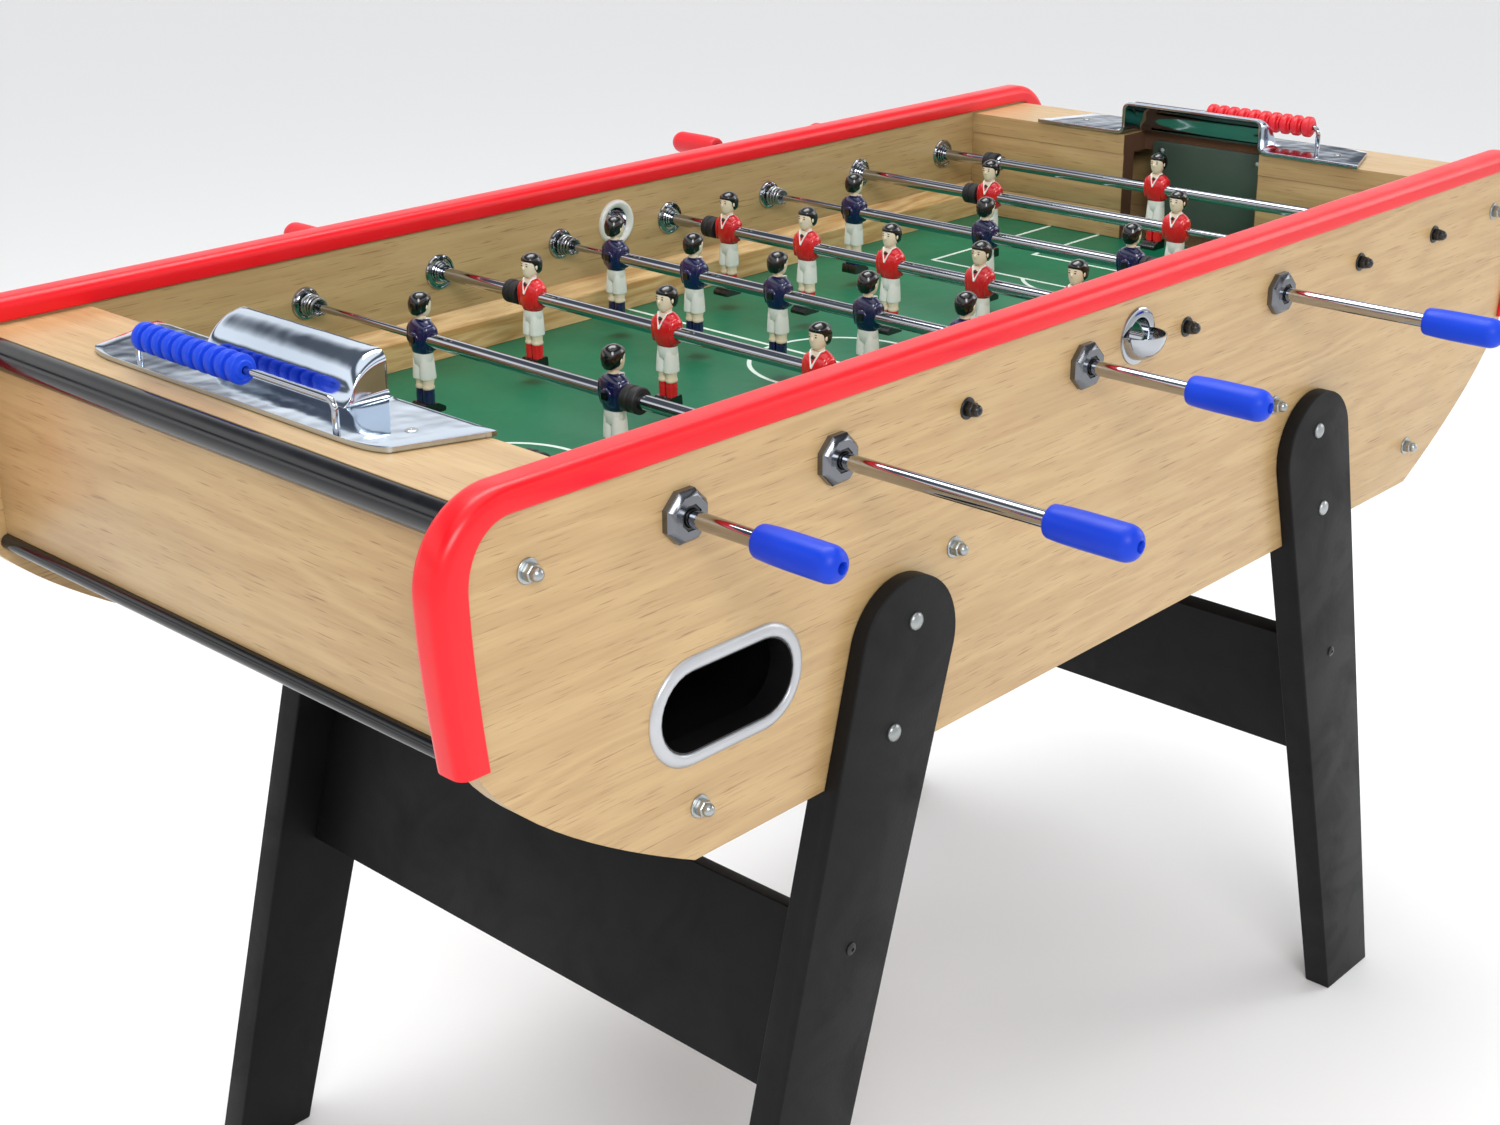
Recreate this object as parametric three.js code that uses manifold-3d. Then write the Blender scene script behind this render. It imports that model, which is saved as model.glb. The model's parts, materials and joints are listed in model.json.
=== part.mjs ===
// Foosball table with eight telescopic rods, in millimetres, +Z up, standing on Z = 0.
// X runs along the table, Y across it, and the origin is under the middle of the whole outline.
import * as THREE from "three";
import { mergeVertices } from "three/addons/utils/BufferGeometryUtils.js";
import Module from "manifold-3d";

const wasm = await Module();
wasm.setup();

// ---------------------------------------------------------------- driving dimensions
const gap = 0.3; // left between pieces that touch
const rodSpacing = 150; // from one rod's axis to the next
const rodHeight = 820; // rod axes above the floor
const pitchWidth = 591; // between the inner faces of the side panels
const pitchEndRoom = 58; // from the last rod's axis to the end of the pitch
const pitchDrop = 78; // from the rod axes down to the pitch
const pitchBoard = 12;

const panelThickness = 20;
const panelRise = 52; // side panel's top edge above the rod axes
const panelDrop = 256; // and its bottom edge below them
const panelOverhang = 139; // side panel beyond each end of the pitch
const panelCorner = 52; // radius of the top corners
const panelFlatStart = 65; // where the straight bottom edge starts, inboard of the pitch's end
const panelSweepTop = 95; // where the end edge starts to curve under, below the rod axes
const ledgeReach = 15; // strip along the foot of each side wall
const ledgeRise = 26;

const trimWall = 8; // rail trim outside the panel's edge
const trimLip = 4; // and beside its faces
const trimTopLip = 10; // how far it laps down the faces along the top
const trimEndLip = 23; // and along the ends
const trimDrop = 118; // lower ends of the trim below the rod axes
const trimEdge = 3;

const deckThickness = 22;
const deckRise = 40; // top of the end decks above the rod axes
const endWall = 20; // end panels and the boards that close the pitch
const deckDepth = 94; // from the pitch's end to the end panel's outer face
const floorBoard = 13; // under the ball channel
const floorTop = 129; // its top, below the rod axes
const goalHalfWidth = 85;
const goalPocket = 45; // depth of the deck's cut-out
const reboundHalfWidth = 73;
const reboundThickness = 4;
const reboundRise = 30;

const trayWall = 5;
const returnOffset = 99; // ball return's centre, inboard of the pitch's end
const returnDrop = 142; // and below the rod axes
const returnHalfLength = 66; // of the oval hole
const returnRadius = 31;
const trayDepth = 92; // from the side panel's inner face
const trayMargin = 12; // tray beyond the oval hole
const trayTop = 96;
const serveHoleRadius = 17;
const serveHoleRise = 8;

const coverPlate = 4; // goal cover's cast plate
const coverOverhang = 4; // over the pitch
const coverFrontHalf = 200;
const coverBackHalf = 176;
const coverDepth = 77;
const coverShoulder = 66; // where its slanted sides meet the rounded back corners
const coverCorner = 38;
const hoodHalfWidth = 87;
const hoodRise = 33;
const hoodDepth = 34;
const hoodWall = 3;
const railRadius = 2.5; // score rail
const railHalfLength = 117;
const railRise = 19; // above the cover plate
const railSetback = 67; // behind the cover's front edge
const beadRadius = 11;
const beadLength = 13;
const beadCount = 10;

const battenWidth = 30;
const battenDepth = 35;
const battenOffset = 236; // cross battens from the table's middle

const legThickness = 28;
const legLap = 14; // what is left of the leg outside the side panel
const legBoltOffset = 285; // upper bolt, inboard of the pitch's end
const legBoltDrop = 143.6; // and below the rod axes
const legLean = THREE.MathUtils.degToRad(15.55);
const legHeadRadius = 55;
const legHeadOffset = 20; // centre of the rounded head below the upper bolt
const legFootHalf = 40;
const stretcherStart = 245; // down the leg from the upper bolt
const stretcherWidth = 147;
const stretcherThickness = 18;
const stretcherSetback = 7; // its outer face beyond the leg's middle

const tubeRadius = 6;
const innerRodRadius = 3.2;
const slideClearance = 0.4; // on the radius, wherever a rod runs in a hole
const innerRodEngaged = 60; // inner rod left in the tube when it is pulled right out
const innerRodStub = 12; // threaded end outside the panel
const collarRadius = 11;
const collarLength = 8;
const springLength = 16; // buffer spring on the inner rod
const flangeLength = 8; // bearing flange inside the handle-side wall
const handleRadius = 12.5;
const handleLength = 68;
const handleSocket = 50;
const handleClear = 57; // left between panel and handle when a rod is pushed right in

const playerHalfWidth = 14;
const bumperLength = 16;
const keeperBumper = 220; // keeper to the middle of their bumper
const keeperTail = 214; // tube beyond the keeper
const fieldTail = 13; // tube beyond the last player

// rods from left to right; handle -1 is on the near side; rest is the share of the travel pushed in
const rods = [
  { name: "blue_keeper", handle: -1, players: 1, pitch: 0, rest: 0.906 },
  { name: "blue_defence", handle: -1, players: 2, pitch: 230, rest: 0.566 },
  { name: "red_attack", handle: 1, players: 3, pitch: 168.5, rest: 0.508 },
  { name: "blue_midfield", handle: -1, players: 5, pitch: 104, rest: 0.59 },
  { name: "red_midfield", handle: 1, players: 5, pitch: 104, rest: 0.46 },
  { name: "blue_attack", handle: -1, players: 3, pitch: 168.5, rest: 0.536 },
  { name: "red_defence", handle: 1, players: 2, pitch: 230, rest: 0.503 },
  { name: "red_keeper", handle: 1, players: 1, pitch: 0, rest: 0.487 },
];

// ---------------------------------------------------------------- derived dimensions
const pitchHalf = ((rods.length - 1) * rodSpacing) / 2 + pitchEndRoom;
const panelHalf = pitchHalf + panelOverhang;
const wallIn = pitchWidth / 2;
const wallOut = wallIn + panelThickness;
const boardHalf = wallIn - gap; // boards that fit between the side panels
const tubeBore = innerRodRadius + slideClearance;
const deckBottom = deckRise - deckThickness;
const endFace = pitchHalf + deckDepth;
const plateTop = deckRise + gap + coverPlate;
const coverFront = pitchHalf - coverOverhang;
const returnX = pitchHalf - returnOffset;
const legBoltX = pitchHalf - legBoltOffset;

// ---------------------------------------------------------------- finishes
const finish = (color, roughness, metalness = 0) => ({ color, roughness, metalness });
const maple = finish(0xd3b07e, 0.55);
const pitchGreen = finish(0x1f7d4f, 0.45);
const batten = finish(0xb99a6b, 0.8);
const redTrim = finish(0xf0363f, 0.35);
const blackBoard = finish(0x17181a, 0.5);
const chrome = finish(0xc9ced3, 0.15, 1);
const blueGrip = finish(0x1f3fb8, 0.5);
const redGrip = finish(0xd21f2b, 0.5);
const navyPlayer = finish(0x1a2050, 0.3);
const redPlayer = finish(0xd6202a, 0.3);

// ---------------------------------------------------------------- solids
function solid(geometry) {
  const bare = geometry.clone();
  bare.deleteAttribute("normal");
  bare.deleteAttribute("uv");
  const merged = mergeVertices(bare, 1e-3);
  return new wasm.Manifold(
    new wasm.Mesh({
      numProp: 3,
      vertProperties: new Float32Array(merged.attributes.position.array),
      triVerts: new Uint32Array(merged.index.array),
    }),
  );
}

function geometryOf(made) {
  const mesh = made.getMesh();
  return new THREE.BufferGeometry()
    .setAttribute("position", new THREE.BufferAttribute(mesh.vertProperties, 3))
    .setIndex(new THREE.BufferAttribute(mesh.triVerts, 1));
}

const join = (...parts) => parts.reduce((a, b) => a.add(b));
const cut = (body, ...tools) => tools.reduce((a, b) => a.subtract(b), body);

// a box from its low and high corners
function block([x0, y0, z0], [x1, y1, z1]) {
  const box = new THREE.BoxGeometry(x1 - x0, y1 - y0, z1 - z0);
  return solid(box.translate((x0 + x1) / 2, (y0 + y1) / 2, (z0 + z1) / 2));
}

// a shape drawn in X and Z, extruded from y0 to y1; edge rounds it off
function board(shape, y0, y1, { edge = 0, segments = 6 } = {}) {
  const geometry = new THREE.ExtrudeGeometry(shape, {
    depth: y1 - y0 - 2 * edge,
    bevelEnabled: edge > 0,
    bevelThickness: edge,
    bevelSize: edge,
    bevelOffset: -edge,
    bevelSegments: 1,
    curveSegments: segments,
  });
  return solid(geometry.rotateX(Math.PI / 2).translate(0, y1 - edge, 0));
}

// a shape drawn in X and Y, extruded from z0 to z1
function slab(shape, z0, z1, segments = 6) {
  const options = { depth: z1 - z0, bevelEnabled: false, curveSegments: segments };
  return solid(new THREE.ExtrudeGeometry(shape, options).translate(0, 0, z0));
}

// a turned piece on the Y axis; its profile is [radius, y] from the low end to the high end
function turned(profile, sides = 12) {
  const points = profile.map(([r, y]) => new THREE.Vector2(r, y));
  return solid(new THREE.LatheGeometry(points, sides));
}

const pin = (radius, y0, y1, sides = 12) =>
  turned([[0, y0], [radius, y0], [radius, y1], [0, y1]], sides);

const root = new THREE.Group();
root.name = "foosball_table";
root.position.z = rodHeight; // everything below is placed from the height of the rod axes

function add(name, made, { color, roughness, metalness }, place = {}, parent = root) {
  const material = new THREE.MeshStandardMaterial({ color, roughness, metalness });
  const mesh = new THREE.Mesh(geometryOf(made), material);
  mesh.name = name;
  mesh.position.set(place.x ?? 0, place.y ?? 0, place.z ?? 0);
  mesh.rotation.z = place.turn ?? 0;
  parent.add(mesh);
}

// ---------------------------------------------------------------- side panels
// the panel's outline, grown outwards by a clearance
function panelOutline(grow = 0) {
  const x = panelHalf + grow;
  const top = panelRise + grow;
  const bottom = -panelDrop - grow;
  const corner = panelCorner + grow;
  const flat = pitchHalf - panelFlatStart;
  const sweep = x - flat;
  const shape = new THREE.Shape().moveTo(-flat, bottom).lineTo(flat, bottom);
  shape.bezierCurveTo(flat + 0.4 * sweep, bottom + 38, x, -panelSweepTop - 55, x, -panelSweepTop);
  shape.lineTo(x, top - corner).absarc(x - corner, top - corner, corner, 0, Math.PI / 2);
  shape.lineTo(-x + corner, top).absarc(-x + corner, top - corner, corner, Math.PI / 2, Math.PI);
  shape.lineTo(-x, -panelSweepTop);
  shape.bezierCurveTo(-x, -panelSweepTop - 55, -flat - 0.4 * sweep, bottom + 38, -flat, bottom);
  return shape;
}

function stadium(halfLength, radius, cx, cz) {
  const shape = new THREE.Shape();
  shape.absarc(cx + halfLength - radius, cz, radius, -Math.PI / 2, Math.PI / 2);
  shape.absarc(cx - halfLength + radius, cz, radius, Math.PI / 2, 1.5 * Math.PI);
  return shape.closePath();
}

const rodX = (i) => (i - (rods.length - 1) / 2) * rodSpacing;

// the near panel; the far one is the same board turned half round, with its rods' holes
function sidePanel(side) {
  const outline = board(panelOutline(), -wallOut, -wallIn);
  const holes = rods.map((rod, i) => {
    const radius = (rod.handle === side ? tubeRadius : innerRodRadius) + slideClearance;
    return pin(radius, -wallOut - 1, -wallIn + 1).translate([-side * rodX(i), 0, 0]);
  });
  const serve = pin(serveHoleRadius, -wallOut - 1, -wallIn + 1, 20).translate([0, 0, serveHoleRise]);
  const oval = stadium(returnHalfLength, returnRadius, -returnX, -returnDrop);
  const ballReturn = board(oval, -wallOut - 1, -wallIn + 1);
  const ledge = new THREE.Shape(
    [
      [-wallIn - 1, -pitchDrop + gap],
      [-wallIn + ledgeReach, -pitchDrop + gap],
      [-wallIn + ledgeReach, -pitchDrop + ledgeRise],
      [-wallIn, -pitchDrop + ledgeRise + 0.8 * ledgeReach],
      [-wallIn - 1, -pitchDrop + ledgeRise + 0.8 * ledgeReach],
    ].map(([y, z]) => new THREE.Vector2(y, z)),
  );
  const strip = new THREE.ExtrudeGeometry(ledge, {
    depth: 2 * (pitchHalf - gap),
    bevelEnabled: false,
  });
  strip.rotateX(Math.PI / 2).rotateZ(Math.PI / 2).translate(-pitchHalf + gap, 0, 0);
  return cut(join(outline, solid(strip)), ...holes, serve, ballReturn);
}

add("side_panel_front", sidePanel(-1), maple);
add("side_panel_back", sidePanel(1), maple, { turn: Math.PI });

// ---------------------------------------------------------------- rail trim
function railTrim() {
  const x = panelHalf + trimWall;
  const top = panelRise + trimWall;
  const corner = panelCorner + trimWall;
  const outer = new THREE.Shape().moveTo(-x, -trimDrop).lineTo(x, -trimDrop);
  outer.lineTo(x, top - corner).absarc(x - corner, top - corner, corner, 0, Math.PI / 2);
  outer.lineTo(-x + corner, top).absarc(-x + corner, top - corner, corner, Math.PI / 2, Math.PI);
  const inX = panelHalf - trimEndLip;
  const inTop = panelRise - trimTopLip;
  const inCorner = corner - trimWall - trimTopLip;
  const inner = new THREE.Shape().moveTo(-inX, -trimDrop - 10).lineTo(inX, -trimDrop - 10);
  inner.lineTo(inX, inTop - inCorner);
  inner.absarc(inX - inCorner, inTop - inCorner, inCorner, 0, Math.PI / 2);
  inner.lineTo(-inX + inCorner, inTop);
  inner.absarc(-inX + inCorner, inTop - inCorner, inCorner, Math.PI / 2, Math.PI);
  const body = board(outer, -wallOut - trimLip, -wallIn + trimLip, { edge: trimEdge });
  const opening = board(inner, -wallOut - trimLip - 1, -wallIn + trimLip + 1);
  const slot = board(panelOutline(gap), -wallOut - gap, -wallIn + gap);
  const decks = block(
    [-endFace - gap, -wallIn, -trimDrop],
    [endFace + gap, -wallIn + trimLip + 1, deckRise + gap],
  );
  return cut(body, opening, slot, decks);
}

add("rail_trim_front", railTrim(), redTrim);
add("rail_trim_back", railTrim(), redTrim, { turn: Math.PI });

// ---------------------------------------------------------------- pitch and its support
const pitchLength = pitchHalf + endWall;
const playfield = block(
  [-pitchLength, -boardHalf, -pitchDrop - pitchBoard],
  [pitchLength, boardHalf, -pitchDrop],
);
add("playfield", playfield, pitchGreen);

function supportFrame() {
  const high = -pitchDrop - pitchBoard - gap;
  const low = high - battenDepth;
  const half = battenWidth / 2;
  const crosses = [-battenOffset, battenOffset].map((x) =>
    block([x - half, -boardHalf, low], [x + half, boardHalf, high]),
  );
  const spine = block([-pitchHalf + 40, -half, low], [pitchHalf - 40, half, high]);
  return join(spine, ...crosses);
}

add("pitch_support_frame", supportFrame(), batten);

// ---------------------------------------------------------------- end boxes
// left end: deck with goal cut-out, goal wall, end panel, ball channel and ball tray
function endBox() {
  const floor = -floorTop;
  const trayEnd = -returnX + returnHalfLength + trayMargin;
  const trayStart = -returnX - returnHalfLength - trayMargin;
  const trayLow = -returnDrop - returnRadius - trayMargin - trayWall;
  const trayBack = -boardHalf + trayDepth;
  const wallFoot = -pitchDrop + gap;
  const boards = join(
    block([-endFace, -boardHalf, deckBottom], [-pitchHalf, boardHalf, deckRise]),
    block([-endFace, -boardHalf, floor - 1], [-endFace + endWall, boardHalf, deckBottom + 1]),
    block([-pitchHalf - endWall, -boardHalf, wallFoot], [-pitchHalf, boardHalf, deckBottom + 1]),
    block([-endFace, -boardHalf, floor - floorBoard], [trayStart + trayWall, boardHalf, floor]),
  );
  const tray = cut(
    block([trayStart, -boardHalf, trayLow], [trayEnd, trayBack, -trayTop]),
    block(
      [trayStart + trayWall, -boardHalf - 1, trayLow + trayWall],
      [trayEnd - trayWall, trayBack - trayWall, -trayTop + 1],
    ),
    block(
      [trayStart - 1, -boardHalf - 1, floor],
      [trayStart + trayWall + 1, trayBack - trayWall, -trayTop + 1],
    ),
  );
  const mouth = block(
    [-pitchHalf - goalPocket, -goalHalfWidth, wallFoot - 1],
    [-pitchHalf + 1, goalHalfWidth, deckRise + 1],
  );
  const reboundX = -pitchHalf - goalPocket;
  const rebound = block(
    [reboundX - 1, -reboundHalfWidth, wallFoot + 8],
    [reboundX + reboundThickness, reboundHalfWidth, reboundRise],
  );
  return join(cut(join(boards, tray), mouth), rebound);
}

// ---------------------------------------------------------------- goal covers and score beads
function goalCover() {
  const front = -coverFront;
  const back = front - coverDepth;
  const shoulder = front - coverShoulder;
  const plate = new THREE.Shape().moveTo(front, -coverFrontHalf);
  plate.lineTo(front, coverFrontHalf).lineTo(shoulder, coverBackHalf);
  plate.quadraticCurveTo(back, coverBackHalf - 6, back, coverBackHalf - coverCorner);
  plate.lineTo(back, -coverBackHalf + coverCorner);
  plate.quadraticCurveTo(back, -coverBackHalf + 6, shoulder, -coverBackHalf);
  const low = deckRise + gap;
  const body = slab(plate.closePath(), low, plateTop);
  const dome = (shrink) => {
    const shape = new THREE.Shape().moveTo(front + (shrink ? 1 : 0), low - shrink);
    shape.lineTo(front + (shrink ? 1 : 0), plateTop + hoodRise - shrink);
    shape.lineTo(front - 6, plateTop + hoodRise - shrink);
    shape.quadraticCurveTo(
      front - hoodDepth + 4 + shrink,
      plateTop + hoodRise - 4 - shrink,
      front - hoodDepth + shrink,
      low - shrink,
    );
    return board(shape, -hoodHalfWidth + shrink, hoodHalfWidth - shrink);
  };
  const railX = front - railSetback;
  const railZ = plateTop + railRise;
  const rail = pin(railRadius, -railHalfLength, railHalfLength, 10).translate([railX, 0, railZ]);
  const feet = [-1, 1].map((end) =>
    solid(
      new THREE.CylinderGeometry(railRadius, railRadius, railRise + 2 + railRadius, 10)
        .rotateX(Math.PI / 2)
        .translate(railX, end * (railHalfLength - railRadius), railZ - railRise / 2),
    ),
  );
  return join(cut(join(body, dome(0)), dome(hoodWall)), rail, ...feet);
}

const beadRun = beadCount * beadLength;

function scoreBeads() {
  const bore = railRadius + slideClearance;
  const start = railHalfLength - 2 * railRadius - gap - beadRun;
  const rim = [...Array(beadCount).keys()].flatMap((i) => [
    [0.72 * beadRadius, start + i * beadLength],
    [beadRadius, start + (i + 0.35) * beadLength],
    [beadRadius, start + (i + 0.65) * beadLength],
  ]);
  const end = [0.72 * beadRadius, start + beadRun];
  return turned([[bore, start], ...rim, end, [bore, start + beadRun], [bore, start]], 10);
}

const beadPlace = { x: -coverFront - railSetback, z: plateTop + railRise };
for (const [name, turn, grip] of [["left", 0, blueGrip], ["right", Math.PI, redGrip]]) {
  const end = new THREE.Group();
  end.rotation.z = turn;
  root.add(end);
  add(`end_box_${name}`, endBox(), maple, {}, end);
  add(`goal_cover_${name}`, goalCover(), chrome, {}, end);
  add(`score_beads_${name}`, scoreBeads(), grip, beadPlace, end);
}

// ---------------------------------------------------------------- leg frames
// left frame, drawn upright round its upper bolt and leant about it
function legFrame() {
  const foot = (rodHeight - legBoltDrop) / Math.cos(legLean) + legFootHalf;
  const outline = new THREE.Shape().moveTo(-legFootHalf, -foot).lineTo(legFootHalf, -foot);
  outline.absarc(0, -legHeadOffset, legHeadRadius, 0, Math.PI);
  const lap = -wallOut - gap;
  const leg = board(outline.closePath(), lap - legLap, lap - legLap + legThickness);
  const inner = wallOut + gap + legLap - legThickness;
  const stretcher = block(
    [-stretcherSetback, -inner - 1, -stretcherStart - stretcherWidth],
    [-stretcherSetback + stretcherThickness, inner + 1, -stretcherStart],
  );
  const upright = join(leg, leg.rotate([0, 0, 180]).mirror([1, 0, 0]), stretcher);
  const leant = upright
    .rotate([0, THREE.MathUtils.radToDeg(legLean), 0])
    .translate([-legBoltX, 0, -legBoltDrop]);
  const reach = panelHalf * 2;
  const underPanels = -panelDrop - gap;
  const betweenLaps = block([-reach, lap, underPanels], [reach, -lap, rodHeight]);
  const belowFloor = block([-reach, -reach, -2 * rodHeight], [reach, reach, -rodHeight]);
  return cut(leant, betweenLaps, belowFloor);
}

add("leg_frame_left", legFrame(), blackBoard);
add("leg_frame_right", legFrame(), blackBoard, { turn: Math.PI });

// ---------------------------------------------------------------- rods
const tailOf = (rod) => (rod.players === 1 ? keeperTail : fieldTail);
const runOf = (rod) => (rod.players - 1) * rod.pitch;

// first player's nearest approach to the handle-side wall
const nearest = (rod) =>
  rod.players === 1
    ? flangeLength + bumperLength / 2 + keeperBumper
    : flangeLength + bumperLength + playerHalfWidth;

const travelOf = (rod) =>
  pitchWidth - collarLength - springLength - tailOf(rod) - runOf(rod) - nearest(rod);

const handleAt = (rod) => wallOut + handleClear + travelOf(rod) * (1 - rod.rest);

// a player who stands on the X and Y axes' crossing and faces +X, with a hole for the tube along Y
function playerSolid() {
  const figure = (profile, depth, sides) => {
    const points = profile.map(([r, z]) => new THREE.Vector2(r, z));
    const lathe = new THREE.LatheGeometry(points, sides).rotateX(Math.PI / 2);
    return solid(lathe.scale(depth, 1, 1));
  };
  const shoulders = playerHalfWidth;
  const body = figure(
    [[0, -60], [8, -60], [9, -31], [11, -8], [shoulders, 6], [4.5, 18], [4.5, 24], [0, 24]],
    0.66,
    8,
  );
  const head = solid(new THREE.SphereGeometry(1, 7, 5).scale(9, 8, 11.5).translate(0.5, 0, 27));
  const boots = block([-8, -9, -65], [14, 9, -55]);
  const hole = pin(tubeRadius + gap, -20, 20);
  return cut(join(body, head, boots), hole);
}

const player = playerSolid();

// tube, handle and players, drawn with the handle towards -Y and the handle's start at y = 0
function handleSolid() {
  const r = handleRadius;
  const bore = tubeRadius + gap;
  return turned([
    [bore, handleSocket],
    [bore, 0],
    [0.76 * r, 0],
    [0.86 * r, 0.12 * handleLength],
    [r, 0.55 * handleLength],
    [r, 0.8 * handleLength],
    [0.8 * r, 0.95 * handleLength],
    [0.4 * r, handleLength],
    [0, handleLength],
    [0, handleSocket],
    [bore, handleSocket],
  ]);
}

const handle = handleSolid();

rods.forEach((rod, i) => {
  const blue = rod.handle === -1;
  const assembly = new THREE.Group();
  assembly.position.x = rodX(i);
  assembly.rotation.z = blue ? 0 : Math.PI; // drawn with its handle on the near side
  root.add(assembly);

  const start = -handleAt(rod);
  const first = -wallIn + nearest(rod) + travelOf(rod) * rod.rest;
  const tubeEnd = first + runOf(rod) + tailOf(rod);
  const tubeStart = start - handleSocket + gap;
  const tube = cut(pin(tubeRadius, tubeStart, tubeEnd), pin(tubeBore, tubeStart - 1, tubeEnd + 1));
  add(`${rod.name}_tube`, tube, chrome, {}, assembly);

  const pulledOut = tubeEnd - travelOf(rod) * rod.rest;
  const collar = wallIn - gap;
  const innerRod = turned([
    [0, pulledOut - innerRodEngaged],
    [innerRodRadius, pulledOut - innerRodEngaged],
    [innerRodRadius, collar - collarLength],
    [collarRadius, collar - collarLength],
    [collarRadius, collar],
    [innerRodRadius, collar],
    [innerRodRadius, wallOut + innerRodStub],
    [0, wallOut + innerRodStub],
  ]);
  add(`${rod.name}_inner_rod`, innerRod, chrome, {}, assembly);

  const grip = handle.mirror([0, 1, 0]);
  add(`${rod.name}_handle`, grip, blue ? blueGrip : redGrip, { y: start }, assembly);

  for (let n = 0; n < rod.players; n++) {
    // each side faces away from its own handles' end of the table: blue towards +X, red towards -X
    const name = rod.players === 1 ? `${rod.name}_player` : `${rod.name}_player_${n + 1}`;
    add(name, player, blue ? navyPlayer : redPlayer, { y: first + n * rod.pitch }, assembly);
  }
});

// the origin lies under the middle of the outline, handles included
const reach = (side) => Math.max(...rods.filter((r) => r.handle === side).map(handleAt)) + handleLength;
root.position.y = (reach(-1) - reach(1)) / 2;

export default root;
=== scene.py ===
# %% [markdown]
# # A foosball table on board legs
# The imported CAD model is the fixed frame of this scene: it says where every board, rod and player is, and which
# pieces move together. Everything drawn here is placed from the boxes of its nodes. The drawing unit is the
# millimetre, measured from the table's middle at the height of the rods, because every rod, hole and player of a
# real table is set out from the rod axes. One function at the end of each step turns millimetres into metres.

# %% Load the frame
import json
import math
import bpy
import bmesh
from mathutils import Matrix, Vector

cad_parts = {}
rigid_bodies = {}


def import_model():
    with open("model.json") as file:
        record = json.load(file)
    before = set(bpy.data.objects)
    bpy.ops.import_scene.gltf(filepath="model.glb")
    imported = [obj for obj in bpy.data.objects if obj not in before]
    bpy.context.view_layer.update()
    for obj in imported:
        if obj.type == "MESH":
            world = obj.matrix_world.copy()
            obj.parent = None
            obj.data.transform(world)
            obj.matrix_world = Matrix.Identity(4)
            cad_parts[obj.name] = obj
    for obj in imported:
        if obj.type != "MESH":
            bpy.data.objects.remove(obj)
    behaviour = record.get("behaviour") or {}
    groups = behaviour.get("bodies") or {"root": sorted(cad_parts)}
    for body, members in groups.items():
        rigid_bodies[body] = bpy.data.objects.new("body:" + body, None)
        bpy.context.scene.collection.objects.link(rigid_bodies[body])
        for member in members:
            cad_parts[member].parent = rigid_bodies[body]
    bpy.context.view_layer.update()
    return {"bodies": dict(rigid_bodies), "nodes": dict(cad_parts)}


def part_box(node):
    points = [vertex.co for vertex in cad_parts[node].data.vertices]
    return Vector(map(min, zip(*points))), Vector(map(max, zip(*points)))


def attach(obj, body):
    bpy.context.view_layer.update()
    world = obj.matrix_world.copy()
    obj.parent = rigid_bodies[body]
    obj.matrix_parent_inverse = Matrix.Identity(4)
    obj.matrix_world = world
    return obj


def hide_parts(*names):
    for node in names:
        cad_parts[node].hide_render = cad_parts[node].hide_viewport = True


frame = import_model()
NODES = frame["nodes"]
MM = 0.001


def middle(node):
    low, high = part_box(node)
    return (low + high) / 2


ORIGIN = Vector((0, middle("playfield").y, middle("blue_keeper_tube").z))


def cad(node):
    """Lowest and highest corner of a CAD node, in millimetres from the table's middle at rod height."""
    return [(corner - ORIGIN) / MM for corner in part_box(node)]


print("rod height", round(ORIGIN.z, 4), "m; nodes", len(NODES))

# %% [markdown]
# Before any shape is drawn, the camera stands where a seller stands: at the near left corner, a little above the
# rails, looking down the length of the table. A long lens from 2 metres keeps the rails' taper gentle. The camera
# could be aimed with a Track To constraint, but a matrix built from yaw and pitch is exact and leaves no
# constraint behind. The shift only moves the framing down, as a view camera's rising front does.

# %% Camera
YAW, PITCH, ROLL = 0.8196, 0.3647, 0.0047
EYE = Vector((-1424.2, -1214.0, 481.1))

forward = Vector((math.sin(YAW) * math.cos(PITCH), math.cos(YAW) * math.cos(PITCH), -math.sin(PITCH)))
right = Vector((math.cos(YAW), -math.sin(YAW), 0))
down = forward.cross(right)
right_rolled = right * math.cos(ROLL) + down * math.sin(ROLL)
down_rolled = down * math.cos(ROLL) - right * math.sin(ROLL)

camera_data = bpy.data.cameras.new("camera")
camera_data.lens = 50.75
camera_data.sensor_width = 36
camera_data.shift_x = 0.0007
camera_data.shift_y = -0.0283
camera = bpy.data.objects.new("camera", camera_data)
axes = Matrix((right_rolled, -down_rolled, -forward)).transposed()
camera.matrix_world = Matrix.Translation(EYE * MM + ORIGIN) @ axes.to_4x4()
bpy.context.scene.collection.objects.link(camera)
bpy.context.scene.camera = camera
bpy.context.scene.view_settings.view_transform = "Standard"
print("camera", [round(c, 3) for c in camera.matrix_world.translation])

# %% [markdown]
# Node trees read like a recipe when each node is one line. This helper adds a node, puts positional values on its
# sockets in order, and tells settings from sockets by their case: `operation` is a setting, `Scale` is a socket.
# A value that is itself an output socket becomes a link.

# %% A short way to write node trees
def node(tree, kind, *values, **named):
    made = tree.nodes.new(kind)
    sockets = list(zip(made.inputs, values))
    for key, value in named.items():
        if key.islower():
            setattr(made, key, value)
        else:
            sockets.append((made.inputs[key.replace("_", " ")], value))
    for socket, value in sockets:
        if isinstance(value, bpy.types.NodeSocket):
            tree.links.new(value, socket)
        elif value is not None:
            socket.default_value = value
    return made


def maths(tree, operation, a, b=None, c=None):
    return node(tree, "ShaderNodeMath", a, b, c, operation=operation).outputs[0]


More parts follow.
